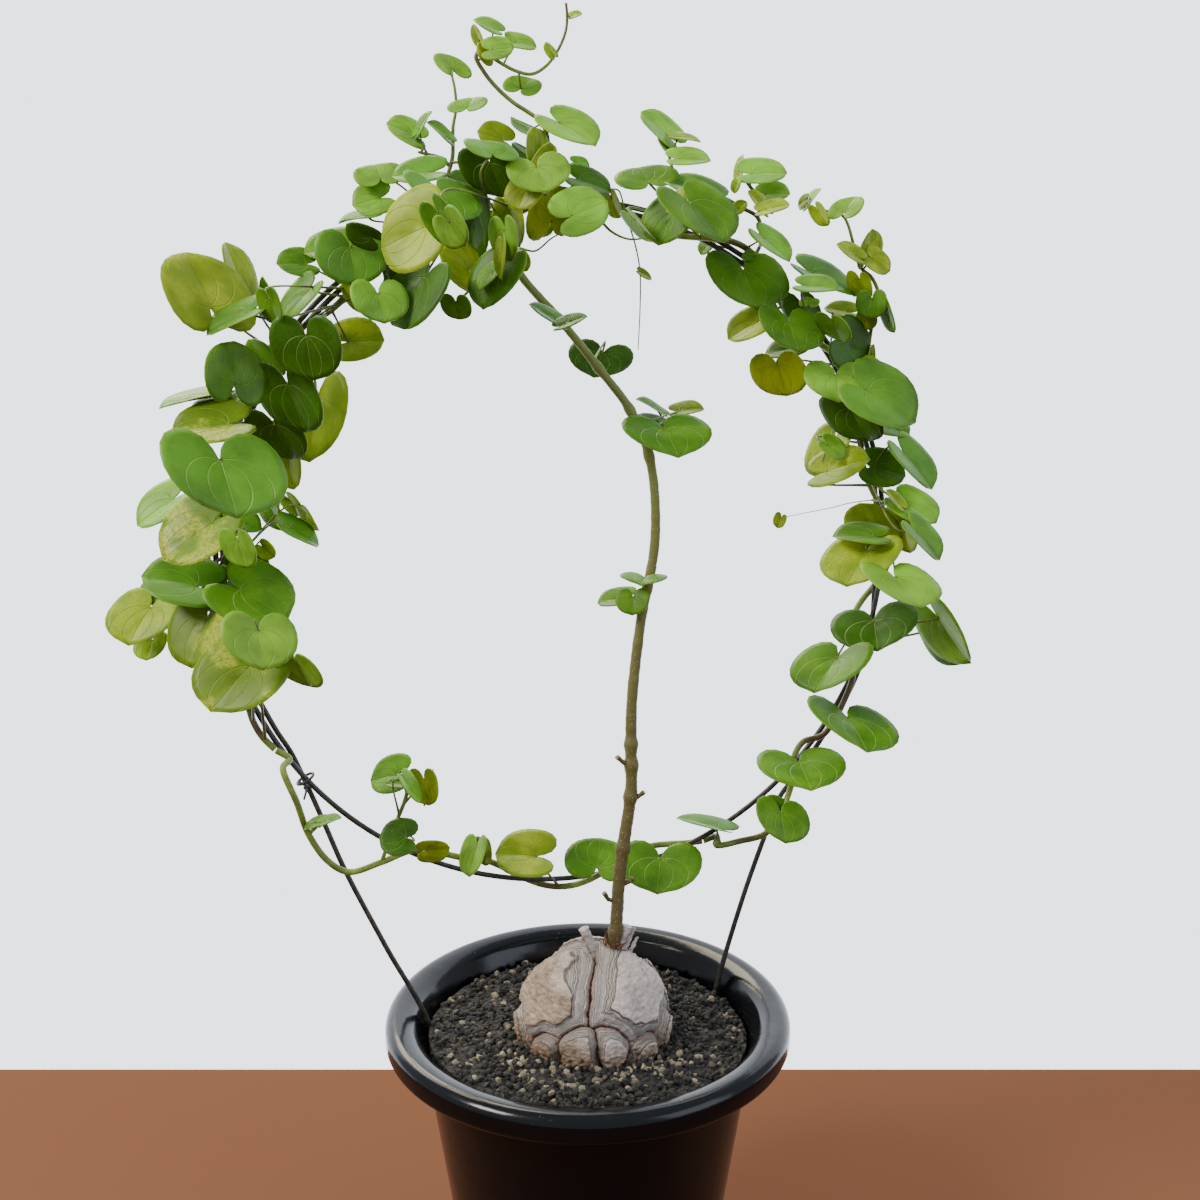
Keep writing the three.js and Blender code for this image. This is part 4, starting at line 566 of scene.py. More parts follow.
crown_forward = forward_of(on_caudex(crown_way))
DRY_STUBS = [  # each with its radii
    ([(602, 976), (597, 955), (589, 939), (584, 929)], [2.3, 2.0, 1.8, 1.7, 1.9]),
    ([(592, 972), (589, 958), (584, 946), (580, 938)], [1.5, 1.1, 0.9, 0.8]),
    ([(622, 972), (625, 952), (629, 941), (633, 933)], [1.5, 1.0, 0.65, 0.6]),
    ([(626, 972), (630, 953), (634, 943), (638, 937)], [1.3, 0.8, 0.6, 0.5]),
    ([(617, 972), (619, 952), (622, 938), (627, 926)], [1.8, 1.5, 1.6, 2.0]),
    ([(619, 972), (624, 950), (629, 938), (635, 927)], [1.5, 1.0, 0.9, 0.6]),
]
for stub, radii in DRY_STUBS:
    places = smooth_path([seen_at(x, y, crown_forward) for x, y in stub], 0.6)
    first = len(caudex_shape.verts)
    add_tube(caudex_shape, places, radii, 10)
    caudex_shape.verts.ensure_lookup_table()
    for corner in caudex_shape.verts[first:]:
        corner.co += 0.7 * noise.noise_vector(corner.co * 0.8)
        corner[cork_marks] = (0.6, 0, 1, 2)

# Weathered cork bark: dull and dry. The faces are tan on one side and pale lilac-grey on the other, the worn
# sides have a grey-white line for each year, and the cracks are red-brown.
cork_bark, cork_shader = new_material("weathered_cork_bark", roughness=0.92, ior=1.45)
place = add_node(cork_bark, "TexCoord").outputs["Object"]
marks = add_node(cork_bark, "Attribute", attribute_name="cork_marks")
parts = add_node(cork_bark, "SeparateColor", {"Color": marks.outputs["Color"]})
layers = add_node(
    cork_bark, "Mapping", {"Vector": place, "Scale": (1, 1, 3.2), "Rotation": (0.25, 0.15, 0)}
)
streaks = add_node(
    cork_bark, "TexNoise", {"Vector": layers, "Scale": every(3.85), "Detail": 7, "Roughness": 0.68}
)
blotches = add_node(cork_bark, "TexNoise", {"Vector": place, "Scale": every(14.3), "Detail": 4})
fine = add_node(
    cork_bark, "TexNoise", {"Vector": place, "Scale": every(0.667), "Detail": 4, "Roughness": 0.7}
)
tan_face = add_node(
    cork_bark,
    "ValToRGB",
    {"Fac": streaks},
    [(0.32, srgb(0x6A584A)), (0.45, srgb(0x8C7967)), (0.58, srgb(0xA6937F)), (0.72, srgb(0xBFAF9E))],
)
pale_face = add_node(
    cork_bark,
    "ValToRGB",
    {"Fac": streaks},
    [(0.3, srgb(0x8F7F78)), (0.43, srgb(0xB3A39C)), (0.58, srgb(0xC9BDB6)), (0.75, srgb(0xDDD5D0))],
)
face_tone = add_node(
    cork_bark, "Mix", {"Factor": parts.outputs["Blue"], "A": tan_face, "B": pale_face}, data_type="RGBA"
)
blotch_tone = add_node(cork_bark, "ValToRGB", {"Fac": blotches}, [(0.35, grey(0.82)), (0.6, grey(1.03))])
worn = add_node(
    cork_bark,
    "Mix",
    {"Factor": 1.0, "A": face_tone, "B": blotch_tone},
    data_type="RGBA",
    blend_type="MULTIPLY",
)
# The worn side: a line of cork for each year, all along the plate's edge
waver = add_node(cork_bark, "TexNoise", {"Vector": place, "Scale": every(8.33), "Detail": 3})
years = add_node(
    cork_bark, "Math", {0: parts.outputs["Red"], 1: LINES_PER_UNIT, 2: waver}, operation="MULTIPLY_ADD"
)
year_lines = add_node(
    cork_bark, "TexNoise", {"W": years, "Scale": 1.0, "Detail": 3, "Roughness": 0.75}, noise_dimensions="1D"
)
side_tone = add_node(
    cork_bark,
    "ValToRGB",
    {"Fac": year_lines},
    [
        (0.32, srgb(0x2E231D)),
        (0.41, srgb(0x6B5B50)),
        (0.47, srgb(0xA59A93)),
        (0.56, srgb(0xD0CAC6)),
        (0.68, srgb(0x94837A)),
    ],
)
side_share = add_node(
    cork_bark, "ValToRGB", {"Fac": marks.outputs["Alpha"]}, [(0.93, grey(1)), (0.99, grey(0))]
)
sided = add_node(cork_bark, "Mix", {"Factor": side_share, "A": worn, "B": side_tone}, data_type="RGBA")
edge_line = add_node(
    cork_bark,
    "ValToRGB",
    {"Fac": marks.outputs["Alpha"]},
    [(0.88, grey(0)), (0.95, grey(0.85)), (0.985, grey(0.6)), (1.0, grey(0))],
)
stepped = add_node(
    cork_bark, "Mix", {"Factor": edge_line, "A": sided, "B": srgb(0x4B3A30)}, data_type="RGBA"
)
rusty_share = add_node(
    cork_bark, "ValToRGB", {"Fac": parts.outputs["Red"]}, [(0.02, grey(0.5)), (0.1, grey(0))]
)
rusty_beside = add_node(
    cork_bark, "Math", {0: rusty_share, 1: parts.outputs["Green"]}, operation="MULTIPLY"
)
rusty = add_node(
    cork_bark, "Mix", {"Factor": rusty_beside, "A": stepped, "B": srgb(0x8C5B3B)}, data_type="RGBA"
)
crack_share = add_node(
    cork_bark, "ValToRGB", {"Fac": parts.outputs["Red"]}, [(0.008, grey(1)), (0.035, grey(0))]
)
crack_beside = add_node(
    cork_bark, "Math", {0: crack_share, 1: parts.outputs["Green"]}, operation="MULTIPLY"
)
# The cork is darker and warmer towards its foot: a tan is multiplied in below the caudex's middle.
height = add_node(cork_bark, "SeparateXYZ", {"Vector": place})
foot_share = add_node(
    cork_bark,
    "MapRange",
    {
        "Value": height.outputs["Z"],
        "From Min": (CAUDEX_MIDDLE.z - 4) * MM,
        "From Max": (CAUDEX_MIDDLE.z + 4) * MM,
        "To Min": 0.75,
        "To Max": 0,
    },
)
darker_towards_foot = add_node(
    cork_bark,
    "Mix",
    {"Factor": foot_share, "A": rusty, "B": srgb(0xC4A98A)},
    data_type="RGBA",
    blend_type="MULTIPLY",
)
cracked = add_node(
    cork_bark, "Mix", {"Factor": crack_beside, "A": darker_towards_foot, "B": srgb(0x4A2617)}, data_type="RGBA"
)
set_input(cork_bark, cork_shader, "Base Color", cracked)
side_relief = add_node(cork_bark, "Math", {0: year_lines, 1: side_share}, operation="MULTIPLY")
relief = add_node(cork_bark, "Math", {0: streaks, 1: fine}, operation="ADD")
relief = add_node(cork_bark, "Math", {0: side_relief, 1: 1.6, 2: relief}, operation="MULTIPLY_ADD")
bark_relief = add_node(cork_bark, "Bump", {"Height": relief, "Distance": 0.6 * MM})
set_input(cork_bark, cork_shader, "Normal", bark_relief)
add_piece("caudex_cork", caudex_shape, cork_bark, "cork", "caudex")


# The crown scales
# Papery brown bracts in a collar round the foot of the stem, the dry ends of last year's growth.
COLLAR_RADIUS = 3.6
SCALE_COUNT = 11
scales = bmesh.new()
crown_turn = Vector((0, 0, 1)).rotation_difference(crown_way).to_matrix()
collar_foot = on_caudex(crown_way, 0.4)
for i in range(SCALE_COUNT):
    first = len(scales.verts)
    bmesh.ops.create_grid(scales, x_segments=4, y_segments=7, size=0.5)
    scales.verts.ensure_lookup_table()
    turn = Matrix.Rotation(math.radians(i * 360 / SCALE_COUNT + chance.uniform(-9, 9)), 3, "Z")
    to_left = 0.5 - 0.5 * math.cos(math.radians(i * 360 / SCALE_COUNT))
    tall = chance.uniform(1.6, 3.4) + 4.2 * to_left * chance.random()
    lean = chance.uniform(0.2, 0.7)
    for corner in scales.verts[first:]:
        across, up = corner.co.x, corner.co.y + 0.5
        wide = 2.2 * (1 - up**1.6) + 0.3
        curl = 0.5 * math.sin(3 * up + i) + 1.3 * across * across
        out = COLLAR_RADIUS + lean * tall * up * up - curl * 0.5
        corner.co = collar_foot + crown_turn @ (turn @ Vector((out, across * wide, up * tall)))
bmesh.ops.solidify(scales, geom=scales.faces[:], thickness=0.22)

# Dry bract: thin brown paper with darker fibres along it
dry_bract, bract_shader = new_material("dry_bract", roughness=0.85)
place = add_node(dry_bract, "TexCoord").outputs["Object"]
fibres = add_node(dry_bract, "Mapping", {"Vector": place, "Scale": (5, 5, 1)})
fibre = add_node(dry_bract, "TexNoise", {"Vector": fibres, "Scale": every(3.125), "Detail": 5})
bract_tone = add_node(
    dry_bract,
    "ValToRGB",
    {"Fac": fibre},
    [(0.35, srgb(0x2E1A10)), (0.55, srgb(0x6B3F26)), (0.75, srgb(0xA98A6C))],
)
set_input(dry_bract, bract_shader, "Base Color", bract_tone)
bract_relief = add_node(dry_bract, "Bump", {"Height": fibre, "Distance": 0.2 * MM})
set_input(dry_bract, bract_shader, "Normal", bract_relief)
add_piece("crown_bracts", scales, dry_bract, "dry_scales", "crown_scales")


# The trellis
# A ring of coated wire, and an arch of the same wire. The arch's legs stand in the gravel, and it runs on
# inside the ring over the top, then crosses behind it at the lower right.
WIRE_RADIUS = 1
WIRE_SPACING = 2.35
LEG_DEPTH = 48
ARCH_STEPS = [208 - k * 10.4 for k in range(20)]
left_leg = [
    Vector((-51, 2, SOIL_HEIGHT - LEG_DEPTH)),
    Vector((-58.4, 1.6, SOIL_HEIGHT - 3)),
    seen_at(385, 945),
]
right_leg = [
    Vector((43, 26.5, SOIL_HEIGHT - LEG_DEPTH)),
    Vector((49.6, 29.8, SOIL_HEIGHT - 3)),
    seen_at(742, 900, -0.6),
]
arch_points = [
    *left_leg,
    *route([(345, 870, -1.2), (322, 818, -2.4)]),
    on_ring(216, RING_RADIUS - 0.6, -2.4),
    on_ring(213, RING_RADIUS - 1.9, -1.7),
    *[on_ring(angle, RING_RADIUS - WIRE_SPACING) for angle in ARCH_STEPS],
    on_ring(359, RING_RADIUS - 2.2, -1),
    on_ring(353, RING_RADIUS - 1.2, -2.2),
    on_ring(348, RING_RADIUS + 0.4, -2.5),
    on_ring(343, RING_RADIUS + 2, -1.7),
    on_ring(336, RING_RADIUS + 2.4, -0.8),
    on_ring(328, RING_RADIUS + 2.6, -0.6),
    *route([(800, 770, -0.6), (779, 798, -1), (765, 835, -1)]),
    *reversed(right_leg),
]
arch_path = smooth_path(arch_points, 2)
ring_path = [on_ring(angle * 2, RING_RADIUS) for angle in range(180)]
ring_tube = bmesh.new()
add_tube(ring_tube, ring_path, [WIRE_RADIUS], 12, closed=True)
arch_tube = bmesh.new()
add_tube(arch_tube, arch_path, [WIRE_RADIUS], 12)

# Steel wire in a thin dark vinyl coat: soft sheen, a little dust and small ripples from the coating
coated_wire, wire_shader = new_material("vinyl_coated_wire", roughness=0.42, ior=1.5)
place = add_node(coated_wire, "TexCoord").outputs["Object"]
ripples = add_node(coated_wire, "TexNoise", {"Vector": place, "Scale": every(2.38), "Detail": 4})
wire_tone = add_node(
    coated_wire,
    "ValToRGB",
    {"Fac": ripples},
    [(0.4, srgb(0x171612)), (0.62, srgb(0x312E23)), (0.8, srgb(0x4A4632))],
)
wire_film = add_node(coated_wire, "MapRange", {"Value": ripples, "To Min": 0.34, "To Max": 0.6})
set_input(coated_wire, wire_shader, "Base Color", wire_tone)
set_input(coated_wire, wire_shader, "Roughness", wire_film)
wire_relief = add_node(coated_wire, "Bump", {"Height": ripples, "Distance": 0.15 * MM})
set_input(coated_wire, wire_shader, "Normal", wire_relief)
add_piece("ring_of_wire", ring_tube, coated_wire, "wire", "ring_wire")
add_piece("arch_of_wire", arch_tube, coated_wire, "wire", "arch_wire")


# The vine's lines
# The windings lie close round both wires, a full turn every 30 degrees of the ring. The shoots leave them.
BUNDLE_RADIUS = RING_RADIUS - WIRE_SPACING / 2
VINE_RADIUS = 1.2
SHOOT_RADIUS = 0.75
VINE_TURNS = 12
VINE_STEP = 2.5  # degrees between the places on a winding
PHASE_AT_RIGHT = 40
WINDING_ACROSS = 4.2
WINDING_FORWARD = 3.4
CROSSING = {"from": 336, "to": 360, "room": 2.2}
GAP = 0.35
JOIN = math.degrees(0.7 * GAP / RING_RADIUS)


def on_vine(angle, out=0):
    phase = math.radians(VINE_TURNS * angle + PHASE_AT_RIGHT)
    share = min(max((angle - CROSSING["from"]) / (CROSSING["to"] - CROSSING["from"]), 0), 1)
    room = out + CROSSING["room"] * math.sin(share * math.pi) ** 2
    across = (WINDING_ACROSS + room) * math.cos(phase)
    return on_ring(angle, BUNDLE_RADIUS + across, (WINDING_FORWARD + room) * math.sin(phase))


def wound(start, end):
    start, end = start + JOIN, end - JOIN
    count = round((end - start) / VINE_STEP)
    return [on_vine(start + (end - start) * k / count) for k in range(count + 1)], VINE_RADIUS


def free_run(start, end, *places):
    """A length of the vine that leaves the ring at one angle and comes back to it at another."""
    away = [on_vine(start + JOIN), on_vine(start + VINE_STEP)]
    back = [on_vine(end - VINE_STEP), on_vine(end - JOIN)]
    return [*away, *route(places), *back], VINE_RADIUS


def shoot(*places):
    return route(places), SHOOT_RADIUS


def shoot_from(angle, *places):
    start = VINE_RADIUS + 1.6 * GAP
    return [on_vine(angle, start), on_vine(angle, start + 2), *route(places)], SHOOT_RADIUS


# The ties
# Twists of dark plastic-coated wire that hold the ring, the arch and the vine together, each with a knot and
# two ends.
TIE_RADIUS = 0.5
TIE_CLEARANCE = 0.35


def make_tie(name, node, angle, holds_vine, knot_way):
    wire = on_ring(angle, RING_RADIUS)
    outward = (wire - RING_MIDDLE).normalized()
    beside = min(arch_path, key=lambda point: (point - wire).length)
    held = [(wire, WIRE_RADIUS), (beside, WIRE_RADIUS)]
    if holds_vine:
        held.append((on_vine(angle), VINE_RADIUS))
    middle = wire.copy()
    for i in range(1, 61):
        farthest = max(held, key=lambda one: (one[0] - middle).length + one[1])[0]
        middle = middle.lerp(farthest, 1 / (i + 1))
    loop = max((place - middle).length + radius for place, radius in held) + TIE_CLEARANCE + TIE_RADIUS
    along = ring_facing.cross(outward)

    def on_loop(turn, out=0, aside=0):
        turn = math.radians(turn)
        flat = outward * math.cos(turn) + ring_facing * math.sin(turn)
        return middle + flat * (loop + out) + along * aside

    shape = bmesh.new()
    turns = [on_loop(k * 10 + knot_way, 0, 0.55 * math.sin(math.radians(k * 10))) for k in range(36)]
    add_tube(shape, turns, [TIE_RADIUS], 8, closed=True)
    for side in (-1, 1):
        end = [
            on_loop(knot_way - 14 * side, 0.2),
            on_loop(knot_way, 0.9, 0.4 * side),
            on_loop(knot_way + 7 * side, 1.5, 1.1 * side),
            on_loop(knot_way - 3 * side, 2.2, 0.9 * side),
            on_loop(knot_way, 3, 1.6 * side),
            on_loop(knot_way - 12 * side, 6, 3.2 * side),
        ]
        add_tube(shape, smooth_path(end, 0.4), [TIE_RADIUS, 0.55, 0.45, 0.4], 8)
    add_piece(name, shape, tie_plastic, "tie", node)


# Matt vinyl sleeve with a fine scuff
tie_plastic, tie_shader = new_material("tie_vinyl", roughness=0.62, ior=1.5)
scuffs = add_node(
    tie_plastic,
    "TexNoise",
    {"Vector": add_node(tie_plastic, "TexCoord").outputs["Object"], "Scale": every(1.11), "Detail": 4},
)
tie_tone = add_node(
    tie_plastic, "ValToRGB", {"Fac": scuffs}, [(0.4, srgb(0x191715)), (0.75, srgb(0x3C3731))]
)
set_input(tie_plastic, tie_shader, "Base Color", tie_tone)
tie_relief = add_node(tie_plastic, "Bump", {"Height": scuffs, "Distance": 0.1 * MM})
set_input(tie_plastic, tie_shader, "Normal", tie_relief)
make_tie("twist_tie_left", "tie_left", 182, True, 60)
make_tie("twist_tie_right", "tie_right", 5, True, 60)
make_tie("twist_tie_lower_left", "tie_lower_left", 218.5, False, 75)


# The main stem
# One woody twining stem, brown and warty near the crown and olive further up, with short dry stubs of side
# shoots.
MAIN_STEM_RADII = [2.5, 1.5]  # at its foot and at its top
STEM_TOP_ANGLE = 102
STUB_RADIUS = 0.9
joint = on_vine(STEM_TOP_ANGLE)
near_joint = seen_at(520, 274, 6)
stem_head = joint + (near_joint - joint).normalized() * (VINE_RADIUS + 2 * GAP)
main_path = [
    on_caudex(crown_way, GAP),
    on_caudex(crown_way, 4),
    *route([
        (620, 870, 22), (631, 790, 20), (631, 745, 19), (632, 700, 18), (641, 620, 16), (655, 540, 14),
        (650, 460, 12), (630, 410, 11), (600, 370, 10), (560, 320, 8),
    ]),
    near_joint,
    stem_head,
]
STEM_STUBS = [
    [(632, 800, 20), (637, 797, 21), (644, 792, 22)],
    [(630, 766, 19.5), (623, 762, 20), (617, 757, 21)],
    [(620, 898, 22.5), (610, 900, 23), (604, 893, 24)],
    [(621, 884, 22.5), (628, 882, 23), (634, 878, 24)],
]
STEM_NODES = [  # places on the stem where a leaf scar swells it
    (620, 848, 21.5), (631, 745, 19), (632, 765, 19.5), (634, 797, 20.5), (614, 931, 22.5), (652, 588, 15),
    (650, 455, 12), (630, 410, 11), (598, 368, 10), (560, 320, 8),
]
stem_bark_line = smooth_path(main_path, 0.7)
swells = route(STEM_NODES)


def stem_radius(share, place):
    radius = MAIN_STEM_RADII[0] + (MAIN_STEM_RADII[1] - MAIN_STEM_RADII[0]) * min(share * 1.25, 1)
    near = min((place - swell).length for swell in swells)
    return radius * (0.97 + 0.3 * math.exp(-((near / 2.2) ** 2)) + 0.05 * noise.noise(place * 0.35))


main_stem = bmesh.new()
count = len(stem_bark_line) - 1
add_tube(main_stem, stem_bark_line, [stem_radius(k / count, p) for k, p in enumerate(stem_bark_line)], 14)
for stub in STEM_STUBS:
    add_tube(main_stem, smooth_path(route(stub), 0.5), [STUB_RADIUS * 1.5, STUB_RADIUS, 0.8, 0.95], 10)
for corner in main_stem.verts:
    low = 1 - smoothstep(corner.co.z, 170, 250)
    corner.co += (0.1 + 0.16 * low) * noise.noise_vector(corner.co * 0.8)

# Young bark: olive skin with pale corky specks, turning brown and rough towards the crown
young_bark, bark_shader = new_material("young_twining_bark", roughness=0.6, ior=1.45)
place = add_node(young_bark, "TexCoord").outputs["Object"]
height = add_node(young_bark, "SeparateXYZ", {"Vector": place})
mottle = add_node(young_bark, "TexNoise", {"Vector": place, "Scale": every(8.33), "Detail": 4})
shifted = add_node(
    young_bark, "Math", {0: mottle, 1: 0.12, 2: height.outputs["Z"]}, operation="MULTIPLY_ADD"
)
bark_tone = add_node(
    young_bark,
    "ValToRGB",
    {"Fac": shifted},
    [(0.17, srgb(0x453419)), (0.27, srgb(0x544A1F)), (0.36, srgb(0x5E6024)), (0.46, srgb(0x6C7A34))],
)
lenticels = add_node(young_bark, "TexVoronoi", {"Vector": place, "Scale": every(1.333), "Randomness": 1.0})
speck_share = add_node(young_bark, "ValToRGB", {"Fac": lenticels}, [(0.12, grey(0.75)), (0.24, grey(0))])
specked = add_node(
    young_bark, "Mix", {"Factor": speck_share, "A": bark_tone, "B": srgb(0x8F885C)}, data_type="RGBA"
)
set_input(young_bark, bark_shader, "Base Color", specked)
stem_relief = add_node(young_bark, "Bump", {"Height": mottle, "Distance": 0.4 * MM})
set_input(young_bark, bark_shader, "Normal", stem_relief)
add_piece("main_stem_bark", main_stem, young_bark, "stem", "main_stem")


# The green vine
# Smooth olive-green stems, wound round the wires or running free as shoots that get thinner towards their
# ends. The petioles run from them to the blades.
STEMS = {
    "vine_lower_left": [
        free_run(
            211, 252, (283, 768, 8), (297, 803, 9), (309, 835, 6), (328, 861, 6), (349, 872, 5),
            (382, 862, 5), (415, 850, 5),
        ),
        shoot((382, 861, 5), (390, 838, 7), (398, 818, 9), (405, 800, 9), (409, 784, 9)),
        shoot((309, 834, 6), (321, 822, 8)),
    ],
    "vine_bottom": [wound(252, 294)],
    "vine_lower_right": [
        free_run(
            294, 336, (716, 845, 4), (740, 841, 4.5), (766, 833, 4.5), (781, 811, 5), (791, 786, 5),
            (794, 757, 5), (803, 742, 5), (824, 734, 5),
        )
    ],
    "vine_right_low": [wound(336, 360)],
    "vine_right_mid": [wound(0, 23)],
    "vine_right_high": [wound(23, 46)],
    "shoot_right": [
        shoot_from(
            27, (869, 345, 10), (873, 320, 12), (879, 298, 12), (872, 278, 12), (861, 268, 12),
            (855, 250, 12), (843, 216, 12), (822, 210, 12), (807, 205, 12),
        )
    ],
    "hanging_shoot": [
        shoot_from(
            84, (606, 190, 7), (618, 190, 8), (625, 212, 8), (636, 248, 8), (640, 272, 8), (640, 310, 7),
            (638, 350, 6),
        )
    ],
    "vine_top_right": [wound(46, 66)],
    "shoot_top_right": [
        shoot_from(
            55.5, (761, 238, 10), (758, 218, 12), (740, 207, 12), (722, 197, 12), (697, 190, 12),
            (682, 180, 12), (671, 165, 12), (668, 146, 12),
        ),
        shoot((757, 217, 12), (763, 206, 12), (748, 184, 12), (742, 176, 12)),
    ],
    "vine_top": [wound(66, 95)],
    "shoot_top": [
        shoot_from(
            92, (548, 160, 9), (547, 135, 8), (540, 121, 8), (528, 112, 8), (514, 103, 8), (497, 88, 8),
            (484, 72, 8), (476, 56, 8), (482, 50, 8), (496, 60, 8), (516, 71, 8), (532, 74, 8),
            (546, 66, 8), (558, 50, 8), (566, 30, 8), (567, 14, 8), (566, 3, 8),
        )
    ],
    "vine_top_left": [wound(95, 120)],
    "shoot_top_left": [
        shoot_from(
            114, (437, 198, 8), (452, 160, 9), (453, 145, 9), (453, 128, 9), (456, 108, 9), (455, 90, 9),
            (452, 76, 9),
        ),
        shoot((450, 166, 9), (440, 158, 9), (430, 155, 9), (418, 152, 9)),
    ],
    "shoot_inner_left": [
        shoot_from(98, (503, 228, 8), (494, 258, 8), (480, 284, 8), (468, 292, 8), (460, 300, 8)),
        shoot((489, 267, 8), (496, 268, 8), (506, 266, 9), (518, 260, 9)),
    ],
    "vine_left_high": [wound(120, 145)],
    "vine_left_mid": [wound(145, 165)],
    "vine_left_low": [wound(165, 189)],
    "vine_left_foot": [wound(189, 211)],
    "main_stem": [(main_path, MAIN_STEM_RADII[1]), *[(route(stub), STUB_RADIUS) for stub in STEM_STUBS]],
}

# Green stem skin: a waxy satin, olive with red-brown flushes and fine pale streaks
green_stem, stem_shader = new_material("waxy_green_stem", roughness=0.48, ior=1.45)
place = add_node(green_stem, "TexCoord").outputs["Object"]
flush = add_node(green_stem, "TexNoise", {"Vector": place, "Scale": every(18.2), "Detail": 3})
streak = add_node(green_stem, "TexNoise", {"Vector": place, "Scale": every(1.11), "Detail": 4})
stem_tone = add_node(
    green_stem,
    "ValToRGB",
    {"Fac": flush},
    [(0.34, srgb(0x4F3D20)), (0.48, srgb(0x586420)), (0.62, srgb(0x7C8E34))],
)
streak_tone = add_node(green_stem, "ValToRGB", {"Fac": streak}, [(0.3, grey(0.75)), (0.7, grey(1.15))])
stem_mix = add_node(
    green_stem,
    "Mix",
    {"Factor": 1.0, "A": stem_tone, "B": streak_tone},
    data_type="RGBA",
    blend_type="MULTIPLY",
)
set_input(green_stem, stem_shader, "Base Color", stem_mix)
skin_relief = add_node(green_stem, "Bump", {"Height": streak, "Distance": 0.12 * MM})
set_input(green_stem, stem_shader, "Normal", skin_relief)


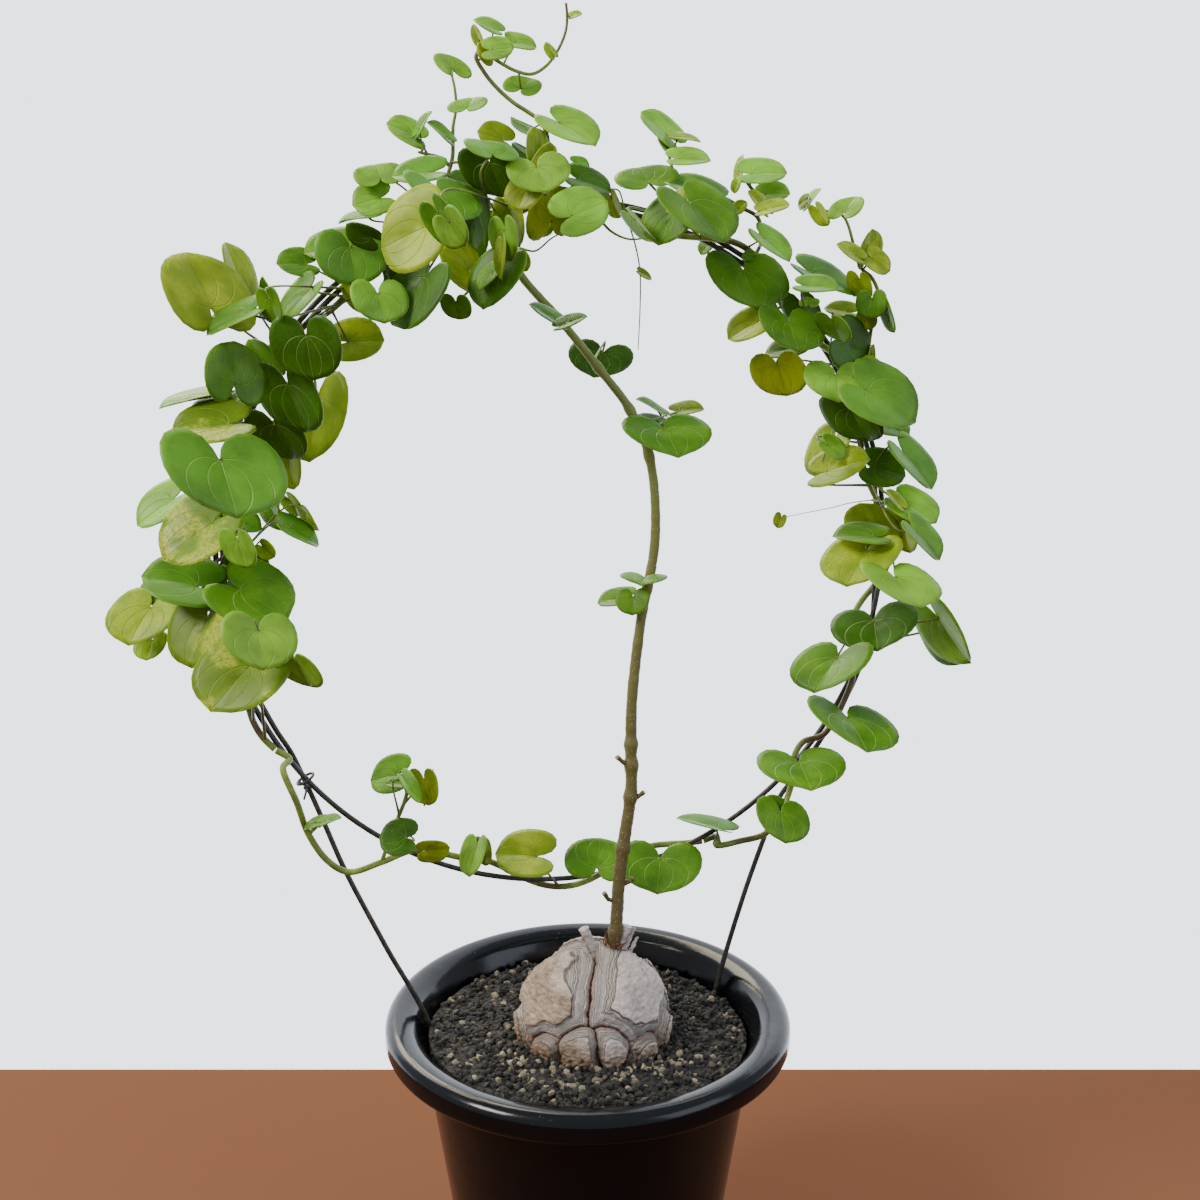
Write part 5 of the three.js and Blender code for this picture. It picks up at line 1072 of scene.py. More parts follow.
# The leaves
# Kidney- and heart-shaped blades, wider than long, each with a deep notch where its petiole joins, a short
# point and arched veins from the notch to the point. Each row gives the picture places of a blade's notch,
# point and two widest places, which side comes forward, and its tone.
LEAVES = {
    "main_stem": [
        (555, 321, 530, 303, 546, 306, 541, 317, 1, 3),
        (564, 325, 587, 315, 573, 314, 576, 325, 1, 1),
        (602, 354, 594, 375, 565, 350, 628, 361, 1, 0),
        (664, 429, 679, 453, 621, 428, 706, 425, 1, 1),
        (661, 427, 634, 416, 651, 413, 648, 426, 1, 0),
        (680, 411, 704, 407, 689, 401, 691, 415, 1, 2),
        (658, 411, 637, 397, 652, 403, 649, 409, 1, 3),
        (624, 598, 597, 601, 611, 588, 610, 607, 1, 1),
        (633, 597, 632, 615, 616, 603, 650, 602, 1, 1),
        (644, 578, 641, 583, 620, 577, 667, 580, 1, 1),
    ],
    "vine_lower_left": [
        (476, 848, 468, 876, 458, 862, 482, 864, 1, 4),
        (484, 846, 485, 866, 477, 852, 495, 855, 1, 2),
        (427, 850, 450, 849, 430, 832, 433, 854, -1, 2),
        (405, 838, 379, 837, 400, 819, 395, 857, 1, 0),
        (398, 774, 370, 779, 389, 745, 386, 784, 1, 4),
        (403, 784, 386, 783, 397, 778, 396, 790, 1, 3),
        (424, 780, 428, 806, 413, 790, 443, 790, 1, 2),
        (406, 782, 422, 802, 419, 786, 409, 797, 1, 4),
        (321, 822, 304, 828, 312, 819, 313, 829, 1, 1),
        (325, 822, 341, 816, 331, 816, 333, 824, 1, 1),
    ],
    "vine_bottom": [
        (660, 859, 657, 891, 623, 860, 707, 864, 1, 1),
        (597, 867, 600, 837, 556, 860, 622, 866, -1, 1),
        (536, 856, 495, 852, 532, 832, 525, 880, 1, 2),
    ],
    "vine_lower_right": [
        (848, 718, 868, 748, 818, 704, 900, 722, 1, 1),
        (799, 763, 811, 787, 757, 757, 842, 752, 1, 1),
        (779, 811, 762, 800, 774, 793, 764, 814, 1, 0),
        (781, 813, 786, 842, 753, 818, 805, 827, 1, 1),
        (716, 828, 677, 815, 712, 817, 697, 826, 1, 1),
    ],
    "vine_right_low": [
        (865, 552, 846, 584, 821, 548, 895, 550, 1, 2),
        (896, 578, 921, 605, 877, 570, 944, 572, 1, 4),
        (938, 618, 966, 666, 936, 640, 967, 622, 1, 4),
        (933, 630, 955, 667, 930, 648, 948, 636, 1, 1),
        (874, 621, 877, 648, 834, 632, 919, 618, 1, 0),
        (836, 659, 813, 690, 798, 668, 870, 670, 1, 1),
    ],
    "vine_right_mid": [
        (850, 409, 868, 443, 826, 420, 882, 420, 1, 0),
        (878, 422, 910, 434, 900, 418, 884, 438, 1, 1),
        (834, 440, 818, 477, 808, 452, 850, 446, 1, 2),
        (828, 445, 846, 457, 842, 444, 832, 460, 1, 4),
        (828, 471, 868, 457, 841, 450, 840, 486, 1, 2),
        (874, 468, 906, 474, 886, 456, 882, 494, 1, 1),
        (905, 454, 935, 487, 926, 457, 904, 474, 1, 3),
        (905, 503, 937, 521, 922, 488, 897, 512, 1, 4),
        (899, 504, 887, 489, 897, 493, 890, 500, 1, 2),
        (874, 536, 860, 502, 842, 522, 893, 513, -1, 2),
        (872, 537, 833, 533, 852, 527, 853, 548, 1, 1),
        (903, 520, 908, 554, 892, 540, 923, 541, 1, 2),
        (916, 531, 942, 558, 937, 528, 922, 546, 1, 3),
    ],
    "vine_right_high": [
        (802, 305, 812, 334, 788, 317, 826, 316, 1, 0),
        (789, 322, 800, 350, 764, 330, 828, 338, 1, 1),
        (812, 273, 857, 293, 836, 270, 825, 288, 1, 3),
        (808, 286, 839, 287, 822, 280, 817, 297, 1, 4),
        (809, 304, 812, 297, 800, 299, 820, 301, -1, 4),
        (833, 322, 841, 342, 819, 322, 852, 328, 1, 3),
        (844, 342, 868, 360, 858, 318, 840, 368, 1, 0),
        (848, 312, 824, 307, 842, 305, 837, 320, 1, 2),
        (778, 366, 787, 397, 751, 373, 806, 368, 1, 2),
        (795, 348, 764, 353, 779, 341, 779, 362, 1, 1),
        (836, 375, 839, 400, 807, 368, 872, 371, 1, 4),
        (867, 367, 882, 373, 877, 363, 870, 384, 1, 2),
        (868, 391, 918, 419, 900, 366, 873, 416, 1, 3),
    ],
    "shoot_right": [
        (860, 280, 865, 300, 851, 286, 876, 289, 1, 2),
        (872, 299, 873, 319, 857, 308, 888, 306, 1, 3),
        (887, 308, 894, 333, 885, 320, 897, 316, 1, 1),
        (867, 316, 870, 330, 860, 323, 880, 320, 1, 2),
        (872, 362, 872, 344, 868, 355, 877, 355, 1, 2),
        (808, 204, 819, 188, 806, 198, 813, 201, 1, 4),
        (806, 200, 798, 206, 800, 198, 803, 208, 1, 2),
        (818, 210, 828, 226, 815, 221, 829, 214, 1, 6),
        (845, 212, 853, 196, 834, 207, 867, 205, -1, 4),
        (867, 256, 873, 230, 857, 245, 879, 243, -1, 2),
        (856, 256, 837, 243, 848, 240, 842, 252, 1, 2),
        (872, 259, 891, 270, 888, 251, 880, 272, 1, 2),
    ],
    "vine_top_right": [
        (648, 182, 638, 166, 606, 176, 668, 166, -1, 1),
        (686, 199, 665, 210, 672, 198, 681, 216, 1, 2),
        (705, 194, 664, 178, 690, 180, 676, 198, 1, 3),
        (635, 219, 656, 243, 633, 231, 646, 226, 1, 4),
        (674, 212, 657, 243, 638, 222, 687, 230, 1, 1),
        (690, 203, 728, 238, 740, 212, 684, 226, 1, 1),
        (764, 238, 792, 259, 785, 238, 768, 250, 1, 4),
        (750, 256, 742, 254, 751, 249, 746, 259, 1, 3),
        (709, 243, 700, 254, 699, 244, 710, 252, 1, 4),
        (744, 271, 759, 306, 713, 266, 793, 272, 1, 1),
        (757, 322, 727, 337, 737, 310, 752, 336, 1, 2),
        (763, 306, 779, 312, 773, 303, 768, 315, 1, 6),
    ],
    "shoot_top_right": [
        (668, 136, 642, 111, 668, 112, 650, 127, 1, 4),
        (678, 138, 701, 140, 686, 136, 687, 142, 1, 2),
        (680, 159, 711, 158, 691, 143, 694, 160, 1, 4),
        (667, 149, 658, 138, 667, 141, 661, 146, 1, 4),
        (738, 209, 746, 201, 738, 200, 748, 208, 1, 6),
        (737, 183, 734, 193, 731, 186, 740, 188, 1, 6),
        (740, 174, 741, 155, 734, 166, 743, 164, 1, 2),
        (752, 174, 787, 171, 768, 157, 771, 182, 1, 4),
        (766, 194, 790, 192, 777, 183, 776, 203, 1, 4),
        (763, 208, 749, 190, 761, 196, 751, 203, 1, 2),
        (766, 210, 789, 203, 774, 200, 779, 213, 1, 2),
    ],
    "vine_top": [
        (544, 226, 543, 237, 532, 230, 552, 230, 1, 2),
        (576, 163, 590, 165, 582, 158, 582, 170, 1, 4),
        (580, 180, 612, 190, 597, 169, 590, 192, 1, 0),
        (572, 216, 607, 200, 575, 185, 600, 227, 1, 4),
        (551, 221, 557, 187, 521, 212, 575, 203, -1, 2),
        (527, 188, 517, 209, 502, 195, 540, 198, 1, 2),
        (510, 211, 517, 247, 500, 230, 527, 222, 1, 2),
        (612, 199, 619, 218, 607, 211, 621, 203, 1, 2),
    ],
    "shoot_top": [
        (560, 123, 597, 142, 586, 118, 553, 136, 1, 4),
        (532, 129, 510, 119, 519, 127, 527, 120, 1, 4),
        (536, 153, 535, 128, 524, 137, 547, 134, -1, 2),
        (538, 166, 552, 144, 534, 150, 556, 153, -1, 2),
        (537, 168, 546, 190, 512, 171, 574, 160, 1, 4),
        (530, 157, 511, 145, 520, 157, 526, 143, 1, 1),
        (494, 29, 474, 19, 487, 21, 481, 31, 1, 4),
        (479, 39, 473, 25, 471, 33, 480, 30, 1, 2),
        (492, 50, 514, 47, 502, 38, 502, 60, 1, 4),
        (490, 55, 479, 43, 492, 39, 478, 56, 1, 2),
        (515, 42, 537, 45, 521, 39, 524, 55, 1, 4),
        (521, 89, 530, 77, 511, 84, 547, 92, -1, 4),
        (553, 53, 545, 43, 547, 52, 555, 47, 1, 6),
        (572, 16, 582, 13, 574, 12, 576, 18, 1, 6),
    ],
    "vine_top_left": [
        (425, 227, 379, 247, 408, 188, 414, 266, 1, 2),
        (438, 190, 460, 217, 407, 190, 474, 203, 1, 3),
        (449, 222, 464, 246, 446, 240, 470, 219, 1, 4),
        (438, 212, 455, 244, 434, 234, 458, 216, 1, 1),
        (470, 210, 471, 266, 446, 240, 493, 235, 1, 0),
        (424, 277, 388, 323, 394, 278, 437, 322, 1, 0),
        (380, 198, 352, 204, 362, 186, 372, 219, 1, 4),
        (368, 217, 338, 220, 356, 213, 357, 220, 1, 3),
        (380, 179, 375, 163, 348, 168, 398, 161, -1, 4),
        (430, 172, 392, 174, 412, 163, 410, 188, 1, 3),
        (474, 187, 448, 175, 462, 174, 458, 192, 1, 0),
        (502, 140, 478, 130, 495, 122, 488, 148, 1, 2),
        (492, 154, 484, 139, 457, 150, 510, 158, -1, 3),
        (506, 212, 495, 232, 487, 221, 506, 229, 1, 2),
    ],
    "shoot_top_left": [
        (490, 163, 503, 198, 467, 173, 528, 174, 1, 0),
        (414, 136, 388, 122, 405, 119, 398, 143, 1, 4),
        (420, 130, 431, 111, 421, 120, 427, 124, 1, 3),
        (446, 137, 429, 121, 441, 125, 435, 133, 1, 3),
        (453, 70, 446, 54, 426, 61, 461, 68, -1, 4),
        (467, 108, 473, 97, 450, 99, 489, 96, -1, 4),
    ],
    "shoot_inner_left": [
        (505, 230, 508, 261, 493, 248, 521, 246, 1, 4),
        (469, 271, 441, 253, 457, 246, 449, 289, 1, 2),
        (456, 302, 459, 320, 441, 300, 472, 302, 1, 1),
        (503, 250, 499, 279, 494, 262, 504, 262, 1, 2),
        (493, 272, 477, 287, 481, 274, 493, 284, 1, 4),
        (503, 268, 480, 307, 474, 282, 519, 290, 1, 1),
        (500, 268, 474, 271, 487, 261, 488, 277, 1, 0),
        (519, 257, 527, 271, 517, 264, 534, 253, 1, 6),
    ],
    "vine_left_high": [
        (210, 307, 192, 251, 163, 290, 247, 292, -1, 2),
        (240, 284, 231, 242, 219, 262, 249, 265, -1, 2),
        (247, 313, 205, 331, 232, 309, 240, 328, 1, 3),
        (271, 298, 262, 277, 265, 290, 274, 286, 1, 1),
        (308, 291, 281, 317, 289, 286, 307, 303, 1, 1),
        (305, 264, 277, 262, 292, 250, 297, 278, 1, 1),
        (270, 299, 276, 325, 262, 308, 284, 305, 1, 1),
        (350, 247, 355, 285, 308, 272, 380, 268, 1, 3),
        (370, 237, 346, 226, 352, 242, 364, 222, 1, 0),
        (350, 246, 304, 250, 326, 232, 335, 262, 1, 1),
        (306, 336, 311, 381, 280, 345, 350, 345, 1, 0),
        (348, 342, 384, 338, 360, 318, 360, 361, 1, 2),
        (378, 294, 384, 322, 350, 291, 407, 292, 1, 4),
        (358, 292, 364, 315, 344, 302, 374, 307, 1, 2),
        (412, 262, 386, 285, 386, 262, 412, 286, 1, 0),
    ],
    "vine_left_mid": [
        (228, 424, 173, 429, 198, 405, 206, 447, 1, 5),
        (228, 403, 190, 411, 208, 402, 215, 416, 1, 0),
        (316, 402, 305, 461, 272, 425, 343, 418, 1, 2),
        (288, 385, 302, 434, 258, 402, 320, 405, 1, 0),
        (275, 425, 290, 461, 252, 440, 306, 440, 1, 0),
        (234, 384, 237, 341, 204, 372, 265, 382, -1, 1),
        (270, 366, 248, 341, 252, 364, 275, 345, 1, 1),
        (212, 396, 160, 404, 196, 389, 200, 399, 1, 3),
    ],
    "vine_left_low": [
        (220, 460, 237, 515, 157, 460, 276, 470, 1, 3),
        (172, 500, 136, 523, 145, 482, 157, 514, 1, 4),
        (212, 523, 162, 557, 158, 518, 193, 568, 1, 5),
        (225, 518, 262, 527, 246, 511, 237, 537, 1, 3),
        (238, 541, 244, 569, 213, 552, 248, 556, 1, 4),
        (288, 458, 291, 490, 276, 472, 305, 468, 1, 2),
        (268, 500, 279, 532, 258, 510, 282, 512, 1, 3),
        (290, 528, 320, 543, 302, 520, 303, 543, 1, 3),
        (290, 500, 302, 517, 288, 511, 304, 506, 1, 6),
        (306, 513, 317, 532, 303, 522, 314, 520, 1, 6),
        (276, 480, 274, 512, 263, 495, 279, 495, 1, 1),
        (263, 547, 274, 558, 262, 556, 274, 543, 1, 6),
        (246, 560, 250, 590, 228, 568, 276, 572, 1, 0),
    ],
    "vine_left_foot": [
        (150, 608, 128, 643, 98, 622, 163, 630, 1, 2),
        (152, 641, 146, 660, 129, 646, 160, 645, 1, 6),
        (207, 617, 190, 667, 160, 640, 220, 640, 1, 5),
        (196, 586, 144, 573, 190, 562, 175, 612, 1, 3),
        (158, 590, 139, 597, 146, 576, 150, 603, 1, 1),
        (240, 590, 288, 617, 278, 572, 228, 622, 1, 1),
        (258, 631, 263, 669, 226, 641, 300, 645, 1, 4),
        (250, 666, 211, 709, 202, 672, 276, 706, 1, 5),
        (296, 662, 308, 688, 281, 664, 328, 675, 1, 4),
        (235, 640, 222, 668, 200, 658, 242, 642, 1, 2),
        (226, 583, 207, 610, 197, 590, 224, 607, 1, 1),
    ],
}
TIP_REACH = 0.56
TILT_SHARE = 0.6  # how much of the lean that a blade's row gives is kept
SMALL_LEAF = 24  # a narrower blade has a simpler outline in the solids
FOLD = 0.22
DROOP = 0.15
NOTCH_HALF = 0.02
SOLID_HALF = 0.31  # half a solid blade's thickness
BLADE_HALF = 0.17  # the same of a blade here
NEAR = 0.05  # how far a corner of a solid may lie from where it is looked for, in millimetres
SAME_SHARE = 0.00015  # how much two shares of the way from the eye may differ and still be one
SOLID_OUTLINE = [(0.23, -0.25), (0.5, -0.02), (0.36, 0.34)]
SMALL_SOLID_OUTLINE = [(0.27, -0.22), (0.5, 0.06)]
HALF_OUTLINE = [
    (0, 0), (0.014, -0.05), (0.05, -0.15), (0.13, -0.236), (0.255, -0.266), (0.385, -0.216),
    (0.475, -0.092), (0.505, 0.06), (0.494, 0.2), (0.442, 0.328), (0.35, 0.43), (0.235, 0.497),
    (0.12, 0.53), (0.04, 0.538), (0, TIP_REACH),
]
BLADE_ROUND = 28
BLADE_RINGS = 6
HEART_HEIGHT = 0.07  # of the middle of a blade's grid
BLADE_SHEET = 0.01  # between the two sides of the flat blade, before it gets its real thickness
VEIN_ANGLES = [math.pi, 2.05, 1.35]  # under which a vein sees the notch and the point
VEIN_WIDTH = 0.022
# Each tone is partly the leaf's own colour and partly painted light: the yellower greens hold the glow of
# leaves lit from behind, and tone 3 a painted blue-green sheen.
LEAF_TONES_WITH_PAINTED_LIGHT = [  # a blade's colour, partly painted light, and how strong the yellow patches on it are
    (0x325A05, 0.0),
    (0x467504, 0.05),
    (0x7C9402, 0.3),
    (0x52851C, 0.0),
    (0x70A22A, 0.0),
    (0x5E7C06, 0.6),
    (0x90B214, 0.1),
]


class Leaf:
    """A blade as its row gives it, at the trellis, before it is moved along the eye's ray.

    The notch and the point give its length as it is seen, and the two widest places its width. On a real
    blade the two are square to each other and equally long, so how far each leans to the eye follows.
    """

    def __init__(self, notch_x, notch_y, tip_x, tip_y, left_x, left_y, right_x, right_y, side, tone):
        self.notch = seen_at(notch_x, notch_y)
        to_eye = EYE - self.notch
        scale = -to_eye.dot(eye_ahead) / FOCAL
        to_eye.normalize()
        right = (eye_right - to_eye * eye_right.dot(to_eye)).normalized()
        up = to_eye.cross(right)
        midrib = Vector((tip_x - notch_x, notch_y - tip_y)) * (scale / TIP_REACH)
        span = Vector((right_x - left_x, left_y - right_y)) * scale
        difference = span.length_squared - midrib.length_squared
        product = -midrib.dot(span)
        root = math.hypot(difference, 2 * product)
        other = -1 if product < 0 else 1
        midrib_sign = side if difference > 0 else side * other
        span_sign = side * other if difference > 0 else side
        midrib_deep = midrib_sign * math.sqrt((root + difference) / 2)
        span_deep = span_sign * math.sqrt((root - difference) / 2)
        self.along = right * midrib.x + up * midrib.y + to_eye * (midrib_deep * TILT_SHARE)
        self.across = right * span.x + up * span.y + to_eye * (span_deep * TILT_SHARE)
        self.facing = self.across.cross(self.along).normalized()
        if self.facing.dot(to_eye) < 0:
            self.facing.negate()
            self.across.negate()
        self.width = max(self.along.length, self.across.length)
        self.tone = tone
        self.share = 1

    def rise(self, across, along):
        side = abs(across)
        return (FOLD * (side - 0.9 * side * side) - DROOP * along * abs(along)) * self.width

    def solid_place(self, across, along):
        flat = self.notch + self.across * across + self.along * along
        return flat + self.facing * self.rise(across, along)

    def solid_outline(self):
        half = SMALL_SOLID_OUTLINE if self.width < SMALL_LEAF else SOLID_OUTLINE
        mirrored = [(-across, along) for across, along in half]
        return [(NOTCH_HALF, 0), (-NOTCH_HALF, 0), (0, TIP_REACH), *half, *mirrored]

    def moved(self, place):
        return EYE + (place - EYE) * self.share

    def find(self, corners):
        """Finds how far along the eye's ray the solid blade stands, from the corners of its node."""
        found, labels = [], []
        for label, (across, along) in enumerate(self.solid_outline()):
            ray = self.solid_place(across, along) - EYE
            for face in (-1, 1):
                reach = corners - np.array(EYE + self.facing * (face * SOLID_HALF))
                shares = reach @ np.array(ray) / ray.length_squared
                off = np.linalg.norm(reach - shares[:, None] * np.array(ray), axis=1)
                near = shares[off < NEAR]
                found.extend(near)
                labels.extend([2 * label + (face + 1) // 2] * len(near))
        found, labels = np.array(found), np.array(labels)
        support = [len(set(labels[abs(found - share) < SAME_SHARE])) for share in found]
        best = found[int(np.argmax(support))]
        self.share = float(found[abs(found - best) < SAME_SHARE].mean())


def node_triangles(node):
    """The triangles of a CAD node, in millimetres, as an array of three corners each."""
    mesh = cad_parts[node].data
    places = np.empty(3 * len(mesh.vertices))
    mesh.vertices.foreach_get("co", places)
    places = places.reshape(-1, 3) / MM
    mesh.calc_loop_triangles()
    corners = np.empty(3 * len(mesh.loop_triangles), dtype=int)
    mesh.loop_triangles.foreach_get("vertices", corners)
    return places[corners].reshape(-1, 3, 3)


def beside(triangles, place):
    """The corners that share a triangle with the corner at a place."""
    at = np.linalg.norm(triangles - np.array(place), axis=2) < 0.02
    touching = triangles[at.any(axis=1)]
    kept = ~at[at.any(axis=1)]
    return touching[kept]


BENDS = [0.2, 0.09, 0.34]  # how far behind the notch a solid petiole bends, as a share of the blade's length
SIDEWAYS = [0, -0.25, 0.25]  # and how far to the side, as a share of its width
PETIOLE_RADIUS = 0.6
RING_SLACK = 0.03  # how much the corners round a bend may miss that radius


def petiole_line(leaf, triangles, corners, stem_places):
    """The solid petiole's line from the notch to its stem, read from the node's corners."""
    notch = leaf.moved(leaf.notch)
    best, bend, ring = 1, None, []
    for back in BENDS:
        for aside in SIDEWAYS:
            for behind in (-1, 1):
                place = (
                    notch
                    - leaf.along * (back * leaf.share)
                    + leaf.across * (aside * leaf.share)
                    + leaf.facing * (behind * back * leaf.width / 2)
                )
                off = np.linalg.norm(corners - np.array(place), axis=1)
                near = corners[abs(off - PETIOLE_RADIUS) < RING_SLACK]
                if len(near) > best:
                    best, bend, ring = len(near), place, near
    start = bend if bend else notch
    own = [leaf.moved(leaf.solid_place(across, along)) for across, along in leaf.solid_outline()]
    own = np.array([place + leaf.facing * lift for place in own for lift in (-SOLID_HALF, SOLID_HALF)])
    heads = ring if bend else own[:4]
    ends = [corner for head in heads for corner in beside(triangles, head)]
    known = np.vstack([own, ring]) if bend else own
    ends = [end for end in ends if np.linalg.norm(known - end, axis=1).min() > NEAR]
    if ends:
        middle = Vector(np.mean(ends, axis=0))
        aim = middle + (middle - start).normalized() * 0.8
    else:
        aim = start
    base = min(stem_places, key=lambda place: (place - aim).length)
    return [notch, bend, base] if bend else [notch, base]


def vein_share(across, along):
    """How close a place on a blade is to one of its arched veins, from 0 to 1."""
    to_notch = Vector((-across, -along))
    to_tip = Vector((-across, TIP_REACH - along))
    angle = math.atan2(abs(to_notch.x * to_tip.y - to_notch.y * to_tip.x), to_notch.dot(to_tip))
    size = to_notch.length * to_tip.length / TIP_REACH
    return max(math.exp(-((angle - vein) * size / VEIN_WIDTH) ** 2) for vein in VEIN_ANGLES)


def evenly(path, count):
    """Count + 1 places an even way apart along a path."""
    lengths = [0]
    for start, end in zip(path, path[1:]):
        lengths.append(lengths[-1] + (end - start).length)
    places = []
    for k in range(count + 1):
        reach = min(lengths[-1] * k / count, lengths[-1] - 1e-6)
        i = max(j for j, length in enumerate(lengths) if length <= reach)
        places.append(path[i].lerp(path[i + 1], (reach - lengths[i]) / (lengths[i + 1] - lengths[i])))
    return places


def blade_template():
    """A flat blade one unit wide with a fine grid, and with its under side just below its upper side."""
    half = evenly(smooth_path([Vector((x, y, 0)) for x, y in HALF_OUTLINE], 0.02), BLADE_ROUND // 2)
    outline = half + [Vector((-place.x, place.y, 0)) for place in reversed(half[:-1])]
    shape = bmesh.new()
    bmesh.ops.create_grid(shape, x_segments=BLADE_ROUND, y_segments=BLADE_RINGS, size=0.5)
    for corner in shape.verts:
        edge = outline[round((corner.co.x + 0.5) * BLADE_ROUND)]
        corner.co = Vector((0, HEART_HEIGHT, 0)).lerp(edge, (corner.co.y + 0.5) ** 0.85)
    bmesh.ops.remove_doubles(shape, verts=shape.verts, dist=0.0005)
    bmesh.ops.recalc_face_normals(shape, faces=shape.faces)
    if sum(face.normal.z for face in shape.faces) < 0:
        bmesh.ops.reverse_faces(shape, faces=shape.faces)
    bmesh.ops.solidify(shape, geom=shape.faces[:], thickness=BLADE_SHEET)
    bmesh.ops.recalc_face_normals(shape, faces=shape.faces)
    mesh = bpy.data.meshes.new("blade")
    shape.to_mesh(mesh)
    shape.free()
    return mesh


blade_mesh = blade_template()
blade_places = [tuple(corner.co) for corner in blade_mesh.vertices]
under_height = min(z for _, _, z in blade_places)
top_height = max(z for _, _, z in blade_places)
veins = [vein_share(x, y) for x, y, _ in blade_places]
# The corners round a blade's edge, where its painted highlight lies.
rim_corners = set()
for edge in blade_mesh.edges:
    first, second = edge.vertices
    if abs(blade_places[first][2] - blade_places[second][2]) > BLADE_SHEET / 2:
        rim_corners.update((first, second))
margin_highlights = [1.0 if k in rim_corners else 0.0 for k in range(len(blade_places))]


def add_blade(shape, layers, leaf, seed):
    """A leaf's blade with its own waves and creases, and its tone in the attributes."""
    tint_layer, blade_layer, under_layer, margin_highlight_layer = layers
    first = len(shape.verts)
    shape.from_mesh(blade_mesh)
    shape.verts.ensure_lookup_table()
    code, mottle = LEAF_TONES_WITH_PAINTED_LIGHT[leaf.tone]
    own = random.Random(seed)
    shade = own.uniform(0.88, 1.12)
    red, green, blue, _ = srgb(code)
    red, blue = red * shade * own.uniform(0.92, 1.08), blue * shade * own.uniform(0.9, 1.1)
    tint = (red, green * shade, blue, mottle)
    notch = leaf.moved(leaf.notch)
    wave, start = own.uniform(0.006, 0.016), own.uniform(0, 6.3)
    for corner, (x, y, z), vein, margin_highlight in zip(shape.verts[first:], blade_places, veins, margin_highlights):
        under = abs(z - under_height) < abs(z - top_height)
        out = math.hypot(x, y - HEART_HEIGHT) / 0.5
        ripple = wave * out**3 * math.sin(3 * math.atan2(y - HEART_HEIGHT, x) + start)
        crease = -0.007 * vein + 0.004 * noise.noise(Vector((x * 9, y * 9, seed * 1.7)))
        rise = leaf.rise(x, y) + (ripple + crease) * leaf.width
        corner.co = (
            notch
            + leaf.across * (x * leaf.share)
            + leaf.along * (y * leaf.share)
            + leaf.facing * (rise * leaf.share + (-BLADE_HALF if under else BLADE_HALF))
        )
        corner[tint_layer] = tint
        corner[blade_layer] = Vector((x, y, seed % 97))
        corner[under_layer] = 1.0 if under else 0.0
        corner[margin_highlight_layer] = margin_highlight


# Living leaf: a waxy satin skin with pale arched veins, a fine net between them, yellow patches where a leaf
# is mottled, a paler under side, a painted highlight along the margin and broad patches of painted shade.
# From each place on a vein, the notch and the point are seen under one and the same angle, which makes it an
# arc between them.
leaf_skin, leaf_shader = new_material("waxy_leaf", roughness=0.42, ior=1.42, specular_ior_level=0.27)
tint = add_node(leaf_skin, "Attribute", attribute_name="leaf_tint")
on_blade = add_node(leaf_skin, "Attribute", attribute_name="blade_place").outputs["Vector"]
under_mark = add_node(leaf_skin, "Attribute", attribute_name="under_side")
margin_highlight_mark = add_node(leaf_skin, "Attribute", attribute_name="margin_highlight")
flat = add_node(leaf_skin, "VectorMath", {0: on_blade, 1: (1, 1, 0)}, operation="MULTIPLY")
to_tip = add_node(leaf_skin, "VectorMath", {0: (0, TIP_REACH, 0), 1: flat}, operation="SUBTRACT")
to_notch = add_node(leaf_skin, "VectorMath", {0: flat, 1: (-1, -1, -1)}, operation="MULTIPLY")
turned = add_node(leaf_skin, "VectorMath", {0: to_notch, 1: to_tip}, operation="CROSS_PRODUCT")
turned_size = add_node(leaf_skin, "VectorMath", {0: turned}, operation="LENGTH")
facing_share = add_node(leaf_skin, "VectorMath", {0: to_notch, 1: to_tip}, operation="DOT_PRODUCT")
angle = add_node(leaf_skin, "Math", {0: turned_size, 1: facing_share}, operation="ARCTAN2")
notch_reach = add_node(leaf_skin, "VectorMath", {0: to_notch}, operation="LENGTH")
tip_reach = add_node(leaf_skin, "VectorMath", {0: to_tip}, operation="LENGTH")
spread = add_node(leaf_skin, "Math", {0: notch_reach, 1: tip_reach}, operation="MULTIPLY")
nearest = None
for vein in VEIN_ANGLES:
    off = add_node(leaf_skin, "Math", {0: angle, 1: vein}, operation="SUBTRACT")
    off = add_node(leaf_skin, "Math", {0: off}, operation="ABSOLUTE")
    if nearest:
        off = add_node(leaf_skin, "Math", {0: nearest, 1: off}, operation="MINIMUM")
    nearest = off
vein_reach = add_node(leaf_skin, "Math", {0: nearest, 1: spread}, operation="MULTIPLY")
vein_mask = add_node(
    leaf_skin,
    "MapRange",
    {"Value": vein_reach, "From Min": 0.001, "From Max": 0.0055, "To Min": 1, "To Max": 0},
    interpolation_type="SMOOTHSTEP",
)
net = add_node(leaf_skin, "TexVoronoi", {"Vector": on_blade, "Scale": 15}, feature="DISTANCE_TO_EDGE")
net_mask = add_node(leaf_skin, "ValToRGB", {"Fac": net}, [(0.0, grey(0.25)), (0.06, grey(0))])
